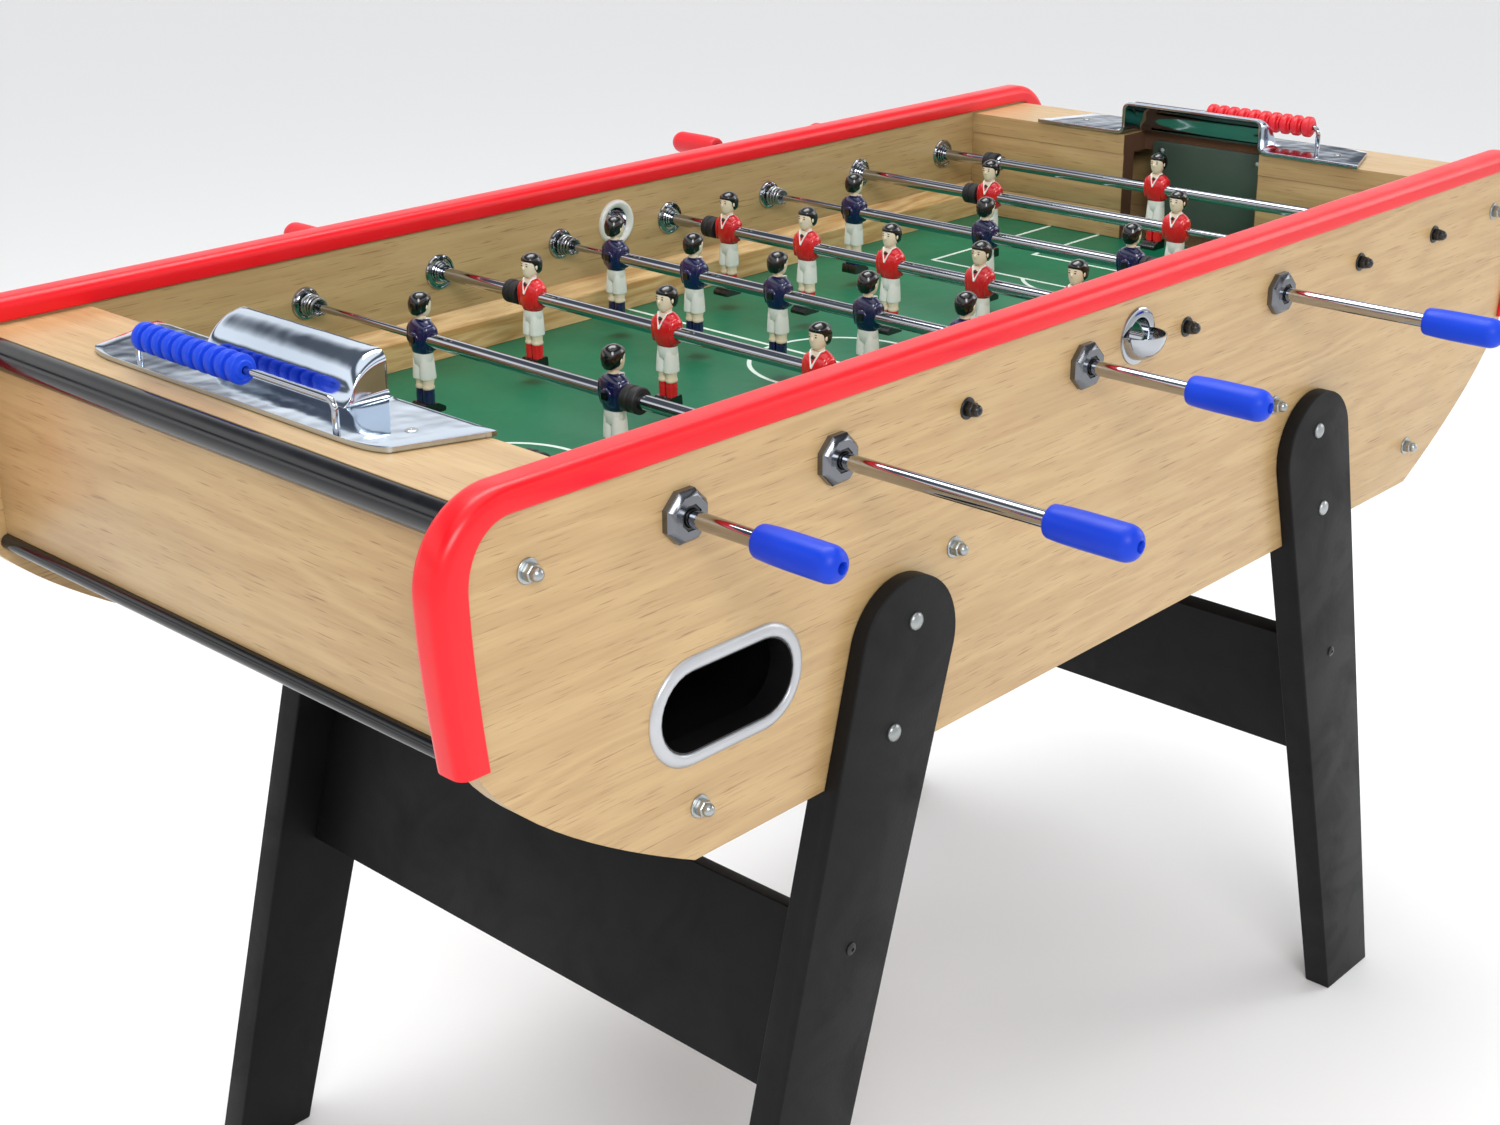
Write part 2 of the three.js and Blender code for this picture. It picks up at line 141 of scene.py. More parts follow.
def spread(tree, value, low, high, to_low=0.0, to_high=1.0):
    """A value stretched from one range to another, and held inside it."""
    return node(tree, "ShaderNodeMapRange", value, low, high, to_low, to_high).outputs[0]


def mixed(tree, share, first, second, blend_type="MIX"):
    mix = tree.nodes.new("ShaderNodeMix")
    mix.data_type = "RGBA"
    mix.blend_type = blend_type
    for socket, value in ((mix.inputs[0], share), (mix.inputs[6], first), (mix.inputs[7], second)):
        if isinstance(value, bpy.types.NodeSocket):
            tree.links.new(value, socket)
        else:
            socket.default_value = value if isinstance(value, float) else (*value, 1)
    return mix.outputs[2]


def new_group(name, kind, inputs, outputs):
    """A node group with named sockets, and its group input's and output's sockets."""
    tree = bpy.data.node_groups.new(name, kind)
    for label, socket_type, value in inputs:
        socket = tree.interface.new_socket(label, in_out="INPUT", socket_type=socket_type)
        if value is not None:
            socket.default_value = value
    for label, socket_type in outputs:
        tree.interface.new_socket(label, in_out="OUTPUT", socket_type=socket_type)
    return tree, tree.nodes.new("NodeGroupInput").outputs, tree.nodes.new("NodeGroupOutput").inputs


# %% [markdown]
# Three effects come back in many finishes, so each is a node group. Wood grain is noise stretched along the board:
# broad tone, cathedral lines where the stretched noise is sliced into bands, and short dark pores. It could be an
# Image Texture of a veneer, but a formula has no seams and no fixed size. The direction of the grain is set outside
# the group by a Mapping node.

# %% Group: wood grain
FLOAT, VECTOR = "NodeSocketFloat", "NodeSocketVector"
grain, given, result = new_group(
    "wood_grain", "ShaderNodeTree",
    [("Vector", VECTOR, None), ("Board Scale", FLOAT, 1.0), ("Band Contrast", FLOAT, 0.5)],
    [("Tone", FLOAT), ("Pores", FLOAT), ("Height", FLOAT)],
)
scaled = node(grain, "ShaderNodeVectorMath", given["Vector"], operation="SCALE")
grain.links.new(given["Board Scale"], scaled.inputs["Scale"])
stretched = node(grain, "ShaderNodeMapping", scaled.outputs[0], Scale=(1.1, 9, 9))
clouds = node(grain, "ShaderNodeTexNoise", Vector=stretched.outputs[0], Scale=1.6, Detail=3.0, Roughness=0.55)
bands = maths(grain, "FRACT", maths(grain, "MULTIPLY", clouds.outputs[0], 9.0))
bands = maths(grain, "ABSOLUTE", maths(grain, "SUBTRACT", bands, 0.5))
lines = spread(grain, bands, 0.06, 0.42)
streaks = node(
    grain, "ShaderNodeTexNoise",
    Vector=node(grain, "ShaderNodeMapping", scaled.outputs[0], Scale=(3, 160, 160)).outputs[0],
    Scale=2.2, Detail=4.0, Roughness=0.65,
)
pore_noise = node(
    grain, "ShaderNodeTexNoise",
    Vector=node(grain, "ShaderNodeMapping", scaled.outputs[0], Scale=(26, 700, 700)).outputs[0],
    Scale=1.0, Detail=2.0, Roughness=0.6,
)
pores = spread(grain, pore_noise.outputs[0], 0.60, 0.72)
tone = maths(grain, "MULTIPLY", lines, given["Band Contrast"])
tone = maths(grain, "ADD", tone, maths(grain, "MULTIPLY", clouds.outputs[0], 0.5))
tone = maths(grain, "ADD", tone, maths(grain, "MULTIPLY", spread(grain, streaks.outputs[0], 0.3, 0.7), 0.35))
grain.links.new(spread(grain, tone, 0.15, 1.1), result["Tone"])
grain.links.new(pores, result["Pores"])
grain.links.new(maths(grain, "MULTIPLY", pores, -1.0), result["Height"])
print("wood_grain nodes", len(grain.nodes))

# %% [markdown]
# Handling wear: paint, plastic and metal are never even. Slow noise shifts the tone, fingers leave smudges that
# change the roughness, and a fine ripple lifts the surface. Fine scratches are noise squeezed in one direction.

# %% Group: handling wear
wear, given, result = new_group(
    "handling_wear", "ShaderNodeTree",
    [("Vector", VECTOR, None), ("Smudge Scale", FLOAT, 14.0), ("Ripple Scale", FLOAT, 300.0)],
    [("Tone", FLOAT), ("Smudge", FLOAT), ("Scratch", FLOAT), ("Height", FLOAT)],
)
slow = node(wear, "ShaderNodeTexNoise", Vector=given["Vector"], Scale=6.0, Detail=3.0)
smudges = node(
    wear, "ShaderNodeTexNoise", Vector=given["Vector"], Scale=given["Smudge Scale"], Detail=5.0, Roughness=0.6,
    Distortion=0.6,
)
ripple = node(wear, "ShaderNodeTexNoise", Vector=given["Vector"], Scale=given["Ripple Scale"], Detail=2.0)
scratches = node(
    wear, "ShaderNodeTexNoise",
    Vector=node(wear, "ShaderNodeMapping", given["Vector"], Rotation=(0.3, 0.2, 0.5), Scale=(30, 900, 900)).outputs[0],
    Scale=1.0, Detail=1.0,
)
wear.links.new(spread(wear, slow.outputs[0], 0.3, 0.7), result["Tone"])
wear.links.new(spread(wear, smudges.outputs[0], 0.42, 0.72), result["Smudge"])
wear.links.new(spread(wear, scratches.outputs[0], 0.66, 0.74), result["Scratch"])
wear.links.new(ripple.outputs[0], result["Height"])
print("handling_wear nodes", len(wear.nodes))

# %% [markdown]
# Dust settles where a surface faces up and in slow patches. The mask comes from the normal's height and noise, so
# the same group serves boards, boots and covers.

# %% Group: settled dust
dust, given, result = new_group(
    "settled_dust", "ShaderNodeTree",
    [("Vector", VECTOR, None), ("Amount", FLOAT, 0.2)], [("Mask", FLOAT)],
)
facing = node(dust, "ShaderNodeSeparateXYZ", node(dust, "ShaderNodeNewGeometry").outputs["Normal"]).outputs[2]
patches = node(dust, "ShaderNodeTexNoise", Vector=given["Vector"], Scale=18.0, Detail=5.0, Roughness=0.7)
mask = maths(dust, "MULTIPLY", spread(dust, facing, 0.2, 1.0), spread(dust, patches.outputs[0], 0.35, 0.75))
dust.links.new(maths(dust, "MULTIPLY", mask, given["Amount"]), result["Mask"])
print("settled_dust nodes", len(dust.nodes))

# %% [markdown]
# Finishes. A finish is a Principled shader whose constants sit on its own sockets, with the groups feeding colour,
# roughness and bump. `FINISH` remembers each material with the slot of the record that it belongs to.

# %% Wood finishes
FINISH = {}


def srgb(*levels):
    """Eight-bit screen levels as the linear colour that shaders use."""
    return tuple(((c / 255 + 0.055) / 1.055) ** 2.4 if c > 10 else c / 255 / 12.92 for c in levels)


def start_finish(name, slot, **sockets):
    material = bpy.data.materials.new(name)
    material.use_nodes = True
    tree = material.node_tree
    shader = tree.nodes["Principled BSDF"]
    for key, value in sockets.items():
        shader.inputs[key.replace("_", " ")].default_value = value
    FINISH[name] = (material, slot)
    place = tree.nodes.new("ShaderNodeTexCoord").outputs["Object"]
    return tree, shader, place


def use_group(tree, group, vector, **values):
    made = tree.nodes.new("ShaderNodeGroup")
    made.node_tree = group
    tree.links.new(vector, made.inputs["Vector"])
    for key, value in values.items():
        made.inputs[key.replace("_", " ")].default_value = value
    return made.outputs


def bump(tree, shader, height, distance, strength=1.0):
    made = node(tree, "ShaderNodeBump", Strength=strength, Distance=distance, Height=height)
    tree.links.new(made.outputs[0], shader.inputs["Normal"])


def wood(name, slot, light, dark, pore, turn, scale, contrast, roughness, sheen):
    """Boards with the grain along X, turned by `turn` radians about Z and tilted by nothing."""
    tree, shader, place = start_finish(name, slot, Coat_Weight=sheen, Coat_Roughness=0.25)
    along = node(tree, "ShaderNodeMapping", place, Rotation=(0, 0, turn)).outputs[0]
    wood_grain = use_group(tree, grain, along, Board_Scale=scale, Band_Contrast=contrast)
    worn = use_group(tree, wear, place, Smudge_Scale=9.0, Ripple_Scale=260.0)
    colour = mixed(tree, wood_grain["Tone"], light, dark)
    colour = mixed(tree, maths(tree, "MULTIPLY", wood_grain["Pores"], 0.7), colour, pore)
    tree.links.new(colour, shader.inputs["Base Color"])
    tree.links.new(spread(tree, worn["Smudge"], 0, 1, roughness, roughness + 0.12), shader.inputs["Roughness"])
    bump(tree, shader, wood_grain["Height"], 0.0001, 0.35)


MAPLE = dict(light=srgb(198, 167, 118), dark=srgb(172, 138, 92), pore=srgb(130, 94, 56))
PINE = dict(light=srgb(230, 200, 145), dark=srgb(188, 142, 82), pore=srgb(160, 118, 70))
ACROSS = math.pi / 2
wood("maple_lengthwise", "maple_laminate", **MAPLE, turn=0, scale=1, contrast=0.34, roughness=0.36, sheen=0.25)
wood("maple_crosswise", "maple_laminate", **MAPLE, turn=ACROSS, scale=1, contrast=0.34, roughness=0.36, sheen=0.25)
wood("ledge_strip", "maple_laminate", **PINE, turn=0, scale=1.6, contrast=0.55, roughness=0.4, sheen=0.1)
wood("batten_wood", "raw_batten", **PINE, turn=0, scale=2, contrast=0.5, roughness=0.7, sheen=0)


def flat_finish(name, slot, colour, shade, rough=(0.3, 0.45), ripple=(300.0, 0.00003), dusty=0.0, **sockets):
    """Moulded, painted or plated surfaces: a colour with its darker shade, smudges and a fine ripple."""
    tree, shader, place = start_finish(name, slot, **sockets)
    worn = use_group(tree, wear, place, Ripple_Scale=ripple[0])
    tint = mixed(tree, worn["Tone"], colour, shade)
    roughness = spread(tree, worn["Smudge"], 0, 1, *rough)
    if dusty:
        mask = use_group(tree, dust, place, Amount=dusty)["Mask"]
        tint = mixed(tree, mask, tint, srgb(196, 190, 178))
        roughness = maths(tree, "ADD", roughness, maths(tree, "MULTIPLY", mask, 0.5))
    tree.links.new(tint, shader.inputs["Base Color"])
    tree.links.new(roughness, shader.inputs["Roughness"])
    bump(tree, shader, worn["Height"], ripple[1])
    return tree, shader, worn, tint


flat_finish("raw_fibreboard_edge", "raw_fibreboard", srgb(122, 82, 58), srgb(88, 56, 38), (0.8, 0.95), (900.0, 0.0004))
flat_finish(
    "black_laminate", "black_board", srgb(15, 15, 17), srgb(10, 10, 11), (0.5, 0.66), (420.0, 0.0001), dusty=0.01,
    Specular_IOR_Level=0.2,
)
print("finishes", len(FINISH))

# %% [markdown]
# Metal and moulded finishes. Chrome on a rod is smooth and slightly smudged; the cast covers show a slow ripple from
# the casting under the plating; zinc is duller. Trim, handles and players are plastics: the trim is an extrusion
# with a soft sheen, the players are dipped in gloss paint.

# %% Metal, rubber and plastic finishes
SMOOTH = (60.0, 0.00002)
flat_finish(
    "rod_chrome", "rod_chrome", srgb(184, 188, 194), srgb(160, 164, 170), (0.05, 0.12), SMOOTH, Metallic=1.0,
)
# A darker copy of the rod chrome for the octagon nuts: painted shade standing in for the dark reflection on their
# faces.
flat_finish("dark_nickel", "rod_chrome", srgb(128, 130, 134), srgb(98, 100, 106), (0.14, 0.28), SMOOTH, Metallic=1.0)
flat_finish(
    "cast_chrome", "polished_cover", srgb(200, 212, 226), srgb(168, 180, 196), (0.05, 0.13), (22.0, 0.0006),
    Metallic=1.0,
)
flat_finish("zinc", "fastener_zinc", srgb(186, 190, 190), srgb(146, 150, 150), (0.28, 0.5), Metallic=1.0)
flat_finish("spring_wire", "spring_steel", srgb(196, 198, 202), srgb(150, 152, 156), (0.18, 0.36), Metallic=1.0)
flat_finish(
    "return_ring_metal", "return_ring", srgb(196, 198, 201), srgb(176, 178, 182), (0.28, 0.4), Metallic=0.5,
)
flat_finish(
    "rebound_paint", "rebound_plate", srgb(86, 104, 92), srgb(62, 80, 70), (0.35, 0.7), (160.0, 0.0002), dusty=0.25,
    Metallic=0.2,
)
flat_finish("rubber", "black_rubber", srgb(26, 26, 27), srgb(18, 18, 19), (0.55, 0.75), (700.0, 0.0001))
flat_finish("black_moulding", "black_plastic", srgb(20, 20, 21), srgb(13, 13, 14), (0.3, 0.5))
flat_finish("black_gloss_strip", "black_trim", srgb(20, 21, 25), srgb(12, 13, 15), (0.12, 0.26), SMOOTH)
flat_finish("white_moulding", "return_ring", srgb(236, 236, 232), srgb(214, 214, 208), (0.25, 0.4))
flat_finish(
    "red_trim_moulding", "red_rail_trim", srgb(232, 12, 28), srgb(220, 8, 22), (0.3, 0.42), (240.0, 0.00005),
    Specular_IOR_Level=0.35, Coat_Weight=0.12, Coat_Roughness=0.25,
)
GRIP_RIPPLE = (800.0, 0.00006)
flat_finish(
    "blue_grip", "blue_plastic", srgb(2, 66, 214), srgb(0, 50, 184), (0.36, 0.5), GRIP_RIPPLE, Specular_IOR_Level=0.3,
)
flat_finish("red_grip", "red_plastic", srgb(226, 26, 40), srgb(200, 18, 32), (0.36, 0.5), GRIP_RIPPLE)
PAINT = dict(Coat_Weight=0.6, Coat_Roughness=0.07)
for name, colour, shade in (
    ("red_shirt", srgb(222, 20, 30), srgb(190, 12, 22)),
    ("navy_shirt", srgb(12, 18, 84), srgb(8, 12, 56)),
    ("white_shorts", srgb(240, 241, 236), srgb(222, 224, 216)),
    ("cream_skin", srgb(240, 226, 200), srgb(226, 208, 178)),
    ("black_hair", srgb(7, 7, 8), srgb(4, 4, 5)),
    ("mouth_paint", srgb(176, 92, 78), srgb(150, 74, 62)),
):
    team = "red_player_paint" if name == "red_shirt" else "blue_player_paint"
    flat_finish(name, team, colour, shade, (0.2, 0.34), (420.0, 0.00006), **PAINT)
print("finishes", len(FINISH))

# %% [markdown]
# The pitch is printed laminate: a satin green with white lines. The lines could be thin white meshes, but print has
# no thickness, so the material works them out from the distance to each line. The pitch is the same on both halves
# and both wings, so it is enough to look at the absolute distance from the middle.

# %% Pitch finish with its lines
LINE = 0.0021
SPOT_TO_GOAL, BOX_FRONT, BOX_HALF, GOAL_FRONT, GOAL_HALF, CIRCLE, ARC = 0.41, 0.365, 0.18, 0.458, 0.113, 0.084, 0.075

tree, shader, worn, green = flat_finish(
    "pitch_print", "green_pitch", srgb(4, 108, 76), srgb(2, 96, 66), (0.36, 0.48), (500.0, 0.00004),
    Specular_IOR_Level=0.3,
)
place = node(tree, "ShaderNodeMapping", tree.nodes["Texture Coordinate"].outputs["Object"], tuple(-ORIGIN))
split = node(tree, "ShaderNodeSeparateXYZ", place.outputs[0])
along, across = (maths(tree, "ABSOLUTE", split.outputs[i]) for i in (0, 1))


def near(value, target):
    return maths(tree, "COMPARE", value, target, LINE)


def both(first, second):
    return maths(tree, "MULTIPLY", first, second)


def radius_from(x):
    offset = maths(tree, "SUBTRACT", along, x)
    return maths(tree, "SQRT", maths(tree, "ADD", maths(tree, "POWER", offset, 2.0), maths(tree, "POWER", across, 2.0)))


paint_lines = [
    near(along, 0.0),
    near(radius_from(0.0), CIRCLE),
    both(near(along, BOX_FRONT), maths(tree, "LESS_THAN", across, BOX_HALF + LINE)),
    both(near(across, BOX_HALF), maths(tree, "GREATER_THAN", along, BOX_FRONT)),
    both(near(along, GOAL_FRONT), maths(tree, "LESS_THAN", across, GOAL_HALF + LINE)),
    both(near(across, GOAL_HALF), maths(tree, "GREATER_THAN", along, GOAL_FRONT)),
    both(near(radius_from(SPOT_TO_GOAL), ARC), maths(tree, "LESS_THAN", along, BOX_FRONT)),
]
painted = paint_lines[0]
for line in paint_lines[1:]:
    painted = maths(tree, "MAXIMUM", painted, line)
colour = mixed(tree, maths(tree, "MULTIPLY", painted, 0.85), green, srgb(226, 238, 230))
tree.links.new(colour, shader.inputs["Base Color"])
print("pitch lines", len(paint_lines))

# %% [markdown]
# Sizes. The boards' places are read from the CAD boxes, so the drawing below follows the frame if a size changes
# there. Only dimensions that a box can't tell, such as a corner's radius, are written as numbers.

# %% Sizes from the frame
PANEL = 20
WALL_OUT = -cad("side_panel_front")[0].y
WALL_IN = WALL_OUT - PANEL
PANEL_HALF = cad("side_panel_front")[1].x
PANEL_LOW, PANEL_TOP = (corner.z for corner in cad("side_panel_front"))
TRIM_LOW, TRIM_TOP = (corner.z for corner in cad("rail_trim_front"))
PITCH_TOP = cad("playfield")[1].z
END_WALL = 20
PITCH_HALF = cad("playfield")[1].x - END_WALL
END_FACE = -cad("end_box_left")[0].x
BOARD_HALF = cad("end_box_left")[1].y
DECK_TOP = cad("end_box_left")[1].z
DECK = 22
GAP = 0.3
print("walls", round(WALL_IN, 1), round(WALL_OUT, 1), "pitch half length", round(PITCH_HALF, 1))

# %% [markdown]
# Shape helpers. An outline is a list of corners with a radius each; `rounded` swaps each corner for an arc. A board
# is an outline pushed through its thickness, a turned piece is a profile spun round an axis, and `finished` gives a
# shape its materials, small bevels, its place in metres and its body. Bevels matter: no real edge is perfectly
# sharp, and the thin highlight along it tells the eye how big a thing is.

# %% Shape helpers
def rounded(corners, steps=5, closed=True):
    """Outline points from corners (x, y, radius)."""
    points = []
    last = len(corners) - 1
    for i, (x, y, radius) in enumerate(corners):
        if radius <= 0 or (not closed and i in (0, last)):
            points.append((x, y))
            continue
        here = Vector((x, y))
        before = Vector(corners[i - 1][:2]) - here
        after = Vector(corners[(i + 1) % len(corners)][:2]) - here
        half = before.angle(after) / 2
        reach = min(radius / math.tan(half), 0.499 * before.length, 0.499 * after.length)
        centre = here + (before.normalized() + after.normalized()).normalized() * (reach / math.cos(half))
        start, end = here + before.normalized() * reach - centre, here + after.normalized() * reach - centre
        first = math.atan2(start.y, start.x)
        sweep = (math.atan2(end.y, end.x) - first + math.pi) % (2 * math.pi) - math.pi
        for k in range(steps + 1):
            angle = first + sweep * k / steps
            points.append((centre.x + start.length * math.cos(angle), centre.y + start.length * math.sin(angle)))
    return points


def skin(rings, cap=True, loop=False):
    """A closed surface through rings of points; a ring of one point is a pole."""
    bm = bmesh.new()
    rows = [[bm.verts.new(p) for p in ring] for ring in rings]
    count = max(len(row) for row in rows)
    for low, high in zip(rows, rows[1:] + (rows[:1] if loop else [])):
        for i in range(count):
            j = (i + 1) % count
            corners = (low[i % len(low)], low[j % len(low)], high[j % len(high)], high[i % len(high)])
            bm.faces.new(dict.fromkeys(corners))
    if cap and not loop:
        for row in (rows[0], rows[-1]):
            if len(row) > 2:
                bm.faces.new(row)
    bmesh.ops.recalc_face_normals(bm, faces=bm.faces)
    return bm


def board(outline, low, high, thick="y"):
    """An outline pushed from low to high along the axis that it doesn't use."""
    place = {"y": lambda p, d: (p[0], d, p[1]), "z": lambda p, d: (*p, d), "x": lambda p, d: (d, *p)}[thick]
    return skin([[place(p, depth) for p in outline] for depth in (low, high)])


def bar(low, high):
    (x0, y0, z0), (x1, y1, z1) = low, high
    return board([(x0, z0), (x1, z0), (x1, z1), (x0, z1)], y0, y1)


def turned_piece(profile, start=(0, 0, 0), axis=(0, 1, 0), sides=32, phase=0.0):
    """A profile of (radius, distance along the axis); it ends on the axis or comes back to its first point."""
    start, axis = Vector(start), Vector(axis).normalized()
    side = axis.orthogonal().normalized()
    other = axis.cross(side)
    loop = profile[0] == profile[-1]
    rings = []
    for radius, along in profile[:-1] if loop else profile:
        centre = start + axis * along
        turn = [2 * math.pi * (k + phase) / sides for k in range(1 if radius < 1e-6 else sides)]
        rings.append([centre + (side * math.cos(t) + other * math.sin(t)) * radius for t in turn])
    return skin(rings, cap=False, loop=loop)


def swept(path, radius, sides=12):
    """A round bar along a path of points."""
    path = [Vector(p) for p in path]
    side = (path[1] - path[0]).orthogonal().normalized()
    rings = []
    for i, point in enumerate(path):
        ahead = (path[min(i + 1, len(path) - 1)] - path[max(i - 1, 0)]).normalized()
        side = (side - ahead * side.dot(ahead)).normalized()
        other = ahead.cross(side)
        turn = [2 * math.pi * k / sides for k in range(sides)]
        rings.append([point + (side * math.cos(t) + other * math.sin(t)) * radius for t in turn])
    return skin(rings)


def to_mesh(shape):
    if isinstance(shape, bpy.types.Mesh):
        return shape
    mesh = bpy.data.meshes.new("shape")
    shape.to_mesh(mesh)
    shape.free()
    return mesh


def through_modifier(mesh, kind, **settings):
    """The mesh as one modifier leaves it."""
    holder = bpy.data.objects.new("holder", mesh)
    bpy.context.scene.collection.objects.link(holder)
    modifier = holder.modifiers.new("step", kind)
    for key, value in settings.items():
        setattr(modifier, key, value)
    depsgraph = bpy.context.evaluated_depsgraph_get()
    result = bpy.data.meshes.new_from_object(holder.evaluated_get(depsgraph))
    bpy.data.objects.remove(holder)
    return result


def joined(*shapes):
    bm = bmesh.new()
    for shape in shapes:
        bm.from_mesh(to_mesh(shape))
    return bm


def carved(shape, *cutters):
    cutter = bpy.data.objects.new("cutter", to_mesh(joined(*cutters)))
    bpy.context.scene.collection.objects.link(cutter)
    result = through_modifier(to_mesh(shape), "BOOLEAN", object=cutter, operation="DIFFERENCE", solver="EXACT")
    bpy.data.objects.remove(cutter)
    return result


def finished(name, parts, body="table", at=(0, 0, 0), turned=False, bevel=0.0, sharp=32, hides=()):
    """Shapes with their finishes as one piece, in metres, riding on a body."""
    bm = bmesh.new()
    mesh = bpy.data.meshes.new(name)
    for shape, finish in parts:
        added = to_mesh(shape)
        for face in added.polygons:
            face.material_index = len(mesh.materials)
        bm.from_mesh(added)
        mesh.materials.append(FINISH[finish][0])
    bm.to_mesh(mesh)
    bm.free()
    if bevel:
        mesh = through_modifier(mesh, "BEVEL", width=bevel, segments=3, limit_method="ANGLE", angle_limit=0.6)
    spin = Matrix.Rotation(math.pi if turned else 0, 4, "Z")
    mesh.transform(Matrix.Translation(ORIGIN) @ Matrix.Scale(MM, 4) @ Matrix.Translation(at) @ spin)
    mesh.polygons.foreach_set("use_smooth", [True] * len(mesh.polygons))
    mesh.set_sharp_from_angle(angle=math.radians(sharp))
    piece = bpy.data.objects.new(name, mesh)
    bpy.context.scene.collection.objects.link(piece)
    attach(piece, body)
    if hides:
        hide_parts(*hides)
    return piece


def at_both_ends(name, parts_of, **facts):
    """The left end's piece, and the same piece turned half round for the right end."""
    left_hides, right_hides = facts.pop("hides", ((), ()))
    finished(f"{name}_left", parts_of(), hides=left_hides, **facts)
    finished(f"{name}_right", parts_of(), turned=True, hides=right_hides, **facts)


# %% [markdown]
# Geometry Nodes repeat what a workshop repeats. One tree lays copies of a piece along a row: a Mesh Line makes the
# points, Instance on Points puts the piece there, and Realize Instances makes the copies real. Another tree winds a
# buffer spring from a spiral curve. Each result is taken out as a plain mesh.

# %% Trees for rows and springs
GEOMETRY, OBJECT, INTEGER, MATERIAL = (
    "NodeSocketGeometry", "NodeSocketObject", "NodeSocketInt", "NodeSocketMaterial",
)
row_tree, given, result = new_group(
    "row_of_copies", "GeometryNodeTree",
    [("Piece", OBJECT, None), ("Count", INTEGER, 2), ("Start", VECTOR, None), ("Step", VECTOR, None),
     ("Finish", MATERIAL, None)],
    [("Geometry", GEOMETRY)],
)
line = node(row_tree, "GeometryNodeMeshLine", mode="OFFSET")
row_tree.links.new(given["Count"], line.inputs["Count"])
row_tree.links.new(given["Start"], line.inputs["Start Location"])
row_tree.links.new(given["Step"], line.inputs["Offset"])
source = node(row_tree, "GeometryNodeObjectInfo", Object=given["Piece"])
placed = node(row_tree, "GeometryNodeInstanceOnPoints", Points=line.outputs[0], Instance=source.outputs["Geometry"])
real = node(row_tree, "GeometryNodeRealizeInstances", placed.outputs[0])
painted = node(row_tree, "GeometryNodeSetMaterial", Geometry=real.outputs[0], Material=given["Finish"])
row_tree.links.new(painted.outputs[0], result["Geometry"])

spring_tree, given, result = new_group(
    "buffer_spring", "GeometryNodeTree",
    [("Turns", FLOAT, 4.0), ("Wall Radius", FLOAT, 8.0), ("Free Radius", FLOAT, 6.6), ("Length", FLOAT, 16.0),
     ("Wire Radius", FLOAT, 0.9), ("Finish", MATERIAL, None)],
    [("Geometry", GEOMETRY)],
)
spiral = node(
    spring_tree, "GeometryNodeCurveSpiral", Resolution=28, Rotations=given["Turns"],
    Start_Radius=given["Wall Radius"], End_Radius=given["Free Radius"], Height=given["Length"],
)
wire = node(spring_tree, "GeometryNodeCurvePrimitiveCircle", Resolution=10, Radius=given["Wire Radius"])
coil = node(spring_tree, "GeometryNodeCurveToMesh", spiral.outputs[0], wire.outputs[0], Fill_Caps=True)
laid = node(spring_tree, "GeometryNodeTransform", coil.outputs[0], Rotation=(math.pi / 2, 0, 0))
real = node(spring_tree, "GeometryNodeRealizeInstances", laid.outputs[0])
painted = node(spring_tree, "GeometryNodeSetMaterial", Geometry=real.outputs[0], Material=given["Finish"])
spring_tree.links.new(painted.outputs[0], result["Geometry"])


def from_tree(tree, **values):
    """The mesh that a geometry tree makes from these values."""
    holder = bpy.data.objects.new("holder", bpy.data.meshes.new("holder"))
    bpy.context.scene.collection.objects.link(holder)
    modifier = holder.modifiers.new("made", "NODES")
    modifier.node_group = tree
    for socket in tree.interface.items_tree:
        if socket.in_out == "INPUT" and socket.name.replace(" ", "_") in values:
            modifier[socket.identifier] = values[socket.name.replace(" ", "_")]
    holder.update_tag()
    depsgraph = bpy.context.evaluated_depsgraph_get()
    mesh = bpy.data.meshes.new_from_object(holder.evaluated_get(depsgraph))
    mesh.materials.clear()
    bpy.data.objects.remove(holder)
    return mesh


def row(shape, finish, count, start, step):
    source = bpy.data.objects.new("source", to_mesh(shape))
    bpy.context.scene.collection.objects.link(source)
    material = FINISH[finish][0]
    mesh = from_tree(row_tree, Piece=source, Count=count, Start=start, Step=step, Finish=material)
    bpy.data.objects.remove(source)
    return mesh, finish


print("trees", [tree.name for tree in (row_tree, spring_tree)])

# %% [markdown]
# The side panels are veneered boards cut to one outline, drilled together. Their holes could be drawn as loops in
# the outline, but drilling with a boolean is how the real board is made and keeps the outline readable.

# %% Side panels
SWEEP_TOP, FLAT_END, CORNER = -95, PITCH_HALF - 65, 52
EASE, EASE_FROM, EASE_CURVE, EASE_STATIONS = 11, 0, 1.6, (-5, -20, -38, -55, -72, -88)
SERVE_RADIUS, SERVE_HEIGHT = 17, 8
RETURN_X, RETURN_Z, RETURN_HALF, RETURN_RADIUS = PITCH_HALF - 99, -142, 66, 31
TUBE_HOLE, THIN_HOLE = 6.4, 3.6


def eased(z):
    """How far the end's upright edge has leaned inward at height z."""
    share = min(1, max(0, (EASE_FROM - z) / (EASE_FROM - TRIM_LOW)))
    return EASE * share ** EASE_CURVE


def leaned(x, z):
    """An outline point with that lean, faded out towards the flat of the panel's foot."""
    share = min(1, max(0, (abs(x) - FLAT_END) / (PANEL_HALF - FLAT_END)))
    return math.copysign(abs(x) - eased(z) * share, x), z


